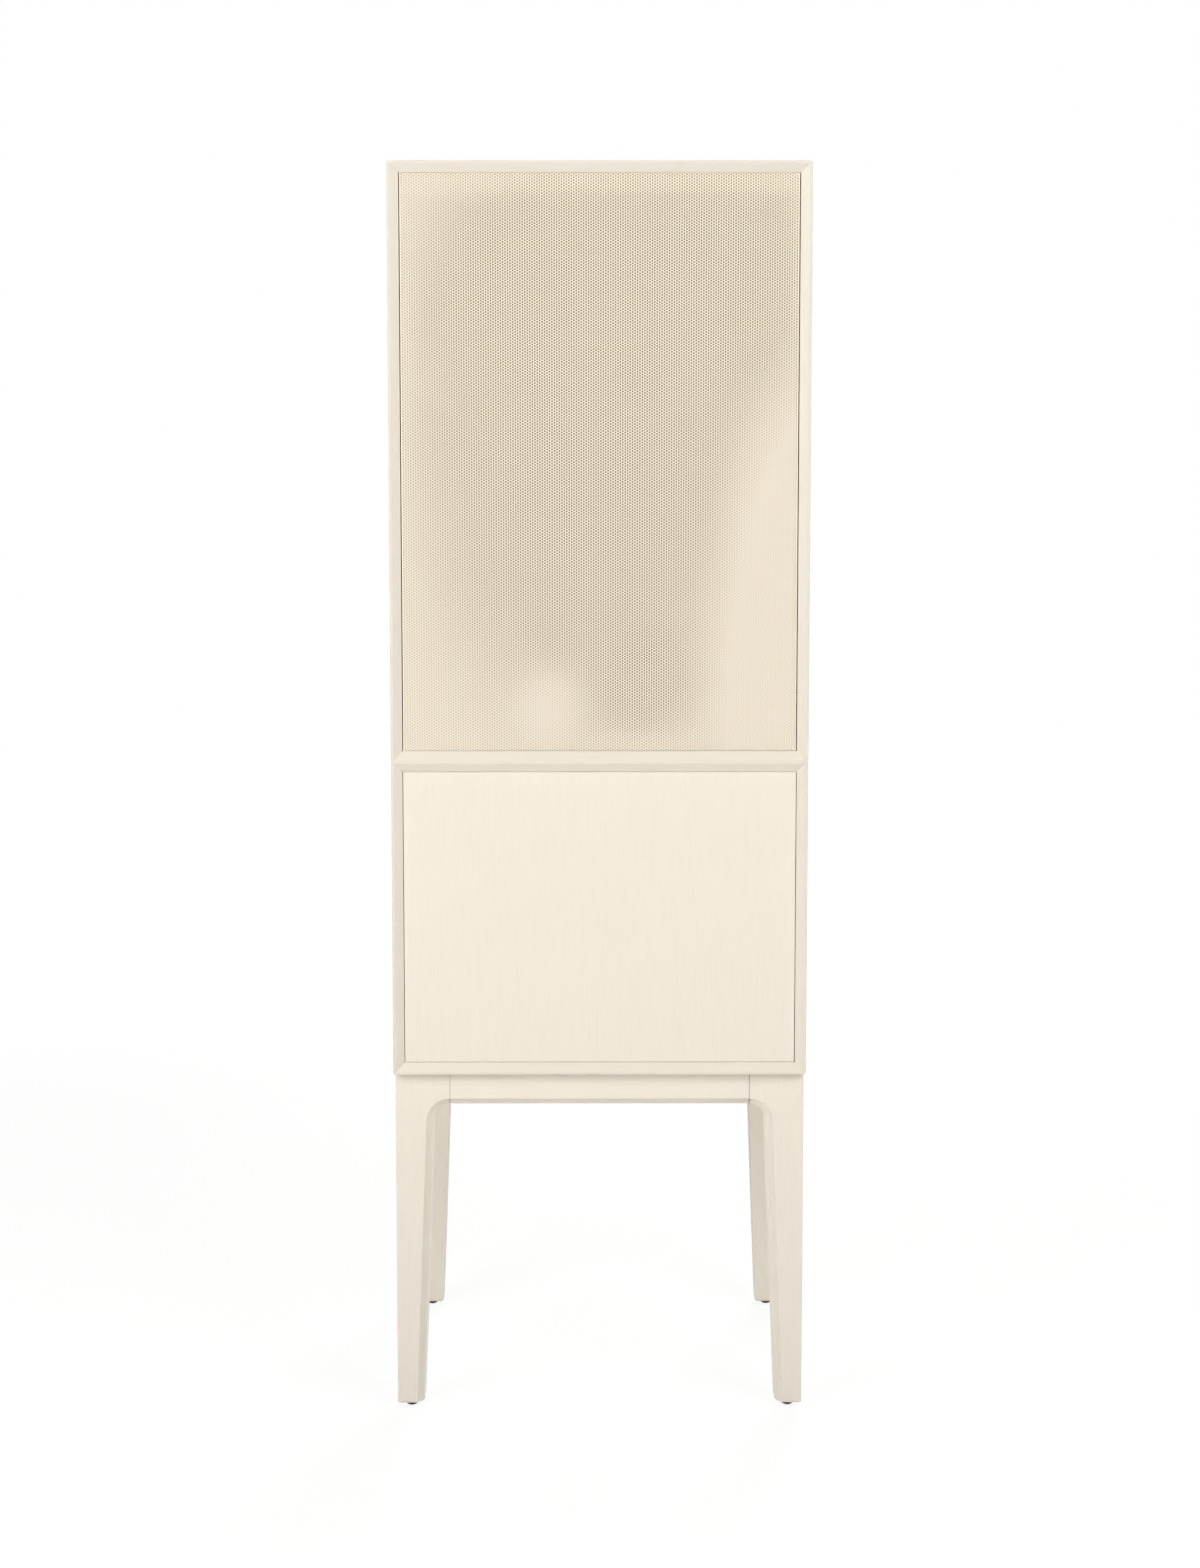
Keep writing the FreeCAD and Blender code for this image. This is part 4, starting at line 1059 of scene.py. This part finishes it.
def floor_material(stage):
    """White floor that keeps a faint shadow near the object and looks like the background far off."""
    material, tree, shader = new_material("Studio floor", Roughness=0.9, Specular_IOR_Level=0.1)
    clouds = place_group(tree, "Cloudy Finish", Colour=(stage.floor_tone,) * 3 + (1.0,), Scale=1.5,
                         Tone=0.004, Roughness=0.9, Roughness_Spread=0.02)
    tree.links.new(clouds.outputs["Colour"], shader.inputs["Base Color"])
    glow = tree.nodes.new("ShaderNodeEmission")
    glow.inputs["Strength"].default_value = stage.floor_white
    distance = tree.nodes.new("ShaderNodeVectorMath")
    distance.operation = "LENGTH"
    tree.links.new(object_place(tree), distance.inputs[0])
    fade = tree.nodes.new("ShaderNodeMapRange")
    fade.interpolation_type = "SMOOTHSTEP"
    tree.links.new(distance.outputs["Value"], fade.inputs["Value"])
    fade.inputs["From Min"].default_value, fade.inputs["From Max"].default_value = stage.floor_fade
    fade.inputs["To Min"].default_value = stage.floor_glow
    share = maths(tree, "MULTIPLY", seen_share(tree), fade.outputs["Result"])
    mixed = tree.nodes.new("ShaderNodeMixShader")
    tree.links.new(share, mixed.inputs["Fac"])
    tree.links.new(shader.outputs["BSDF"], mixed.inputs[1])
    tree.links.new(glow.outputs["Emission"], mixed.inputs[2])
    tree.links.new(mixed.outputs["Shader"], tree.nodes["Material Output"].inputs["Surface"])
    return material


def add_floor(stage):
    """A flat floor under the feet."""
    half = stage.floor_size / 2
    level = CAD_BOX[0].z
    corners = [(-half, -half, level), (half, -half, level), (half, half, level), (-half, half, level)]
    mesh = bpy.data.meshes.new("floor")
    mesh.from_pydata(corners, [], [(0, 1, 2, 3)])
    mesh.materials.append(floor_material(stage))
    floor = bpy.data.objects.new("floor", mesh)
    bpy.context.scene.collection.objects.link(floor)


def add_camera(stage):
    """The camera at the photograph's place, with its axis above the middle of the frame."""
    data = bpy.data.cameras.new("Camera")
    data.sensor_fit = "HORIZONTAL"
    data.lens = stage.focal_pixels / stage.picture_wide * data.sensor_width
    data.shift_y = (stage.axis_row - stage.picture_high / 2) / stage.picture_wide
    camera = bpy.data.objects.new("Camera", data)
    camera.location = stage.camera_place
    camera.rotation_euler = (math.pi / 2 - stage.camera_pitch, 0.0, -stage.camera_yaw)
    bpy.context.scene.collection.objects.link(camera)
    bpy.context.scene.camera = camera


class CABINET_OT_stage(bpy.types.Operator):
    """Set up the background, the floor, the lamps and the camera"""

    bl_idname = "cabinet.stage"
    bl_label = "Studio"

    def execute(self, context):
        stage = context.scene.cabinet_stage
        context.scene.view_settings.view_transform = "Standard"
        light_world(stage)
        add_floor(stage)
        add_lamp("Key lamp", stage.key_place, stage.key_power)
        add_lamp("Fill lamp", stage.fill_place, stage.fill_power)
        add_lamp("Top lamp", stage.top_place, stage.top_power)
        add_lamp("Back lamp", stage.back_place, stage.back_power)
        add_floor_spot(stage)
        add_camera(stage)
        return {"FINISHED"}


class CABINET_PT_finish(bpy.types.Panel):
    """Buttons that dress the cabinet, in order"""

    bl_idname = "CABINET_PT_finish"
    bl_label = "Storage Cabinet"
    bl_space_type = "VIEW_3D"
    bl_region_type = "UI"
    bl_category = "Cabinet"

    def draw(self, context):
        for step in STEPS:
            self.layout.operator(step.bl_idname)
        for group in SETTINGS:
            column = self.layout.column(align=True)
            for name in SETTINGS[group].__annotations__:
                column.prop(getattr(context.scene, group), name)


SETTINGS = {
    "cabinet_finish": CabinetFinishSettings,
    "cabinet_sheet": CabinetSheetSettings,
    "cabinet_fixing": CabinetFixingSettings,
    "cabinet_stage": CabinetStageSettings,
}
STEPS = (CABINET_OT_stage, CABINET_OT_case, CABINET_OT_leg_frame, CABINET_OT_hardware,
         CABINET_OT_perforated_door, CABINET_OT_fixings)


def register():
    """Add the settings, the steps and the panel to Blender."""
    for kind in (*SETTINGS.values(), *STEPS, CABINET_PT_finish):
        bpy.utils.register_class(kind)
    for group, kind in SETTINGS.items():
        setattr(bpy.types.Scene, group, bpy.props.PointerProperty(type=kind))


def unregister():
    """Take the settings, the steps and the panel out of Blender."""
    for group in SETTINGS:
        delattr(bpy.types.Scene, group)
    for kind in (CABINET_PT_finish, *reversed(STEPS), *reversed(SETTINGS.values())):
        bpy.utils.unregister_class(kind)


def main():
    """Dress the cabinet step by step."""
    register()
    bpy.ops.cabinet.stage()
    bpy.ops.cabinet.case()
    bpy.ops.cabinet.leg_frame()
    bpy.ops.cabinet.hardware()
    bpy.ops.cabinet.perforated_door()
    bpy.ops.cabinet.fixings()


if __name__ == "__main__":
    main()
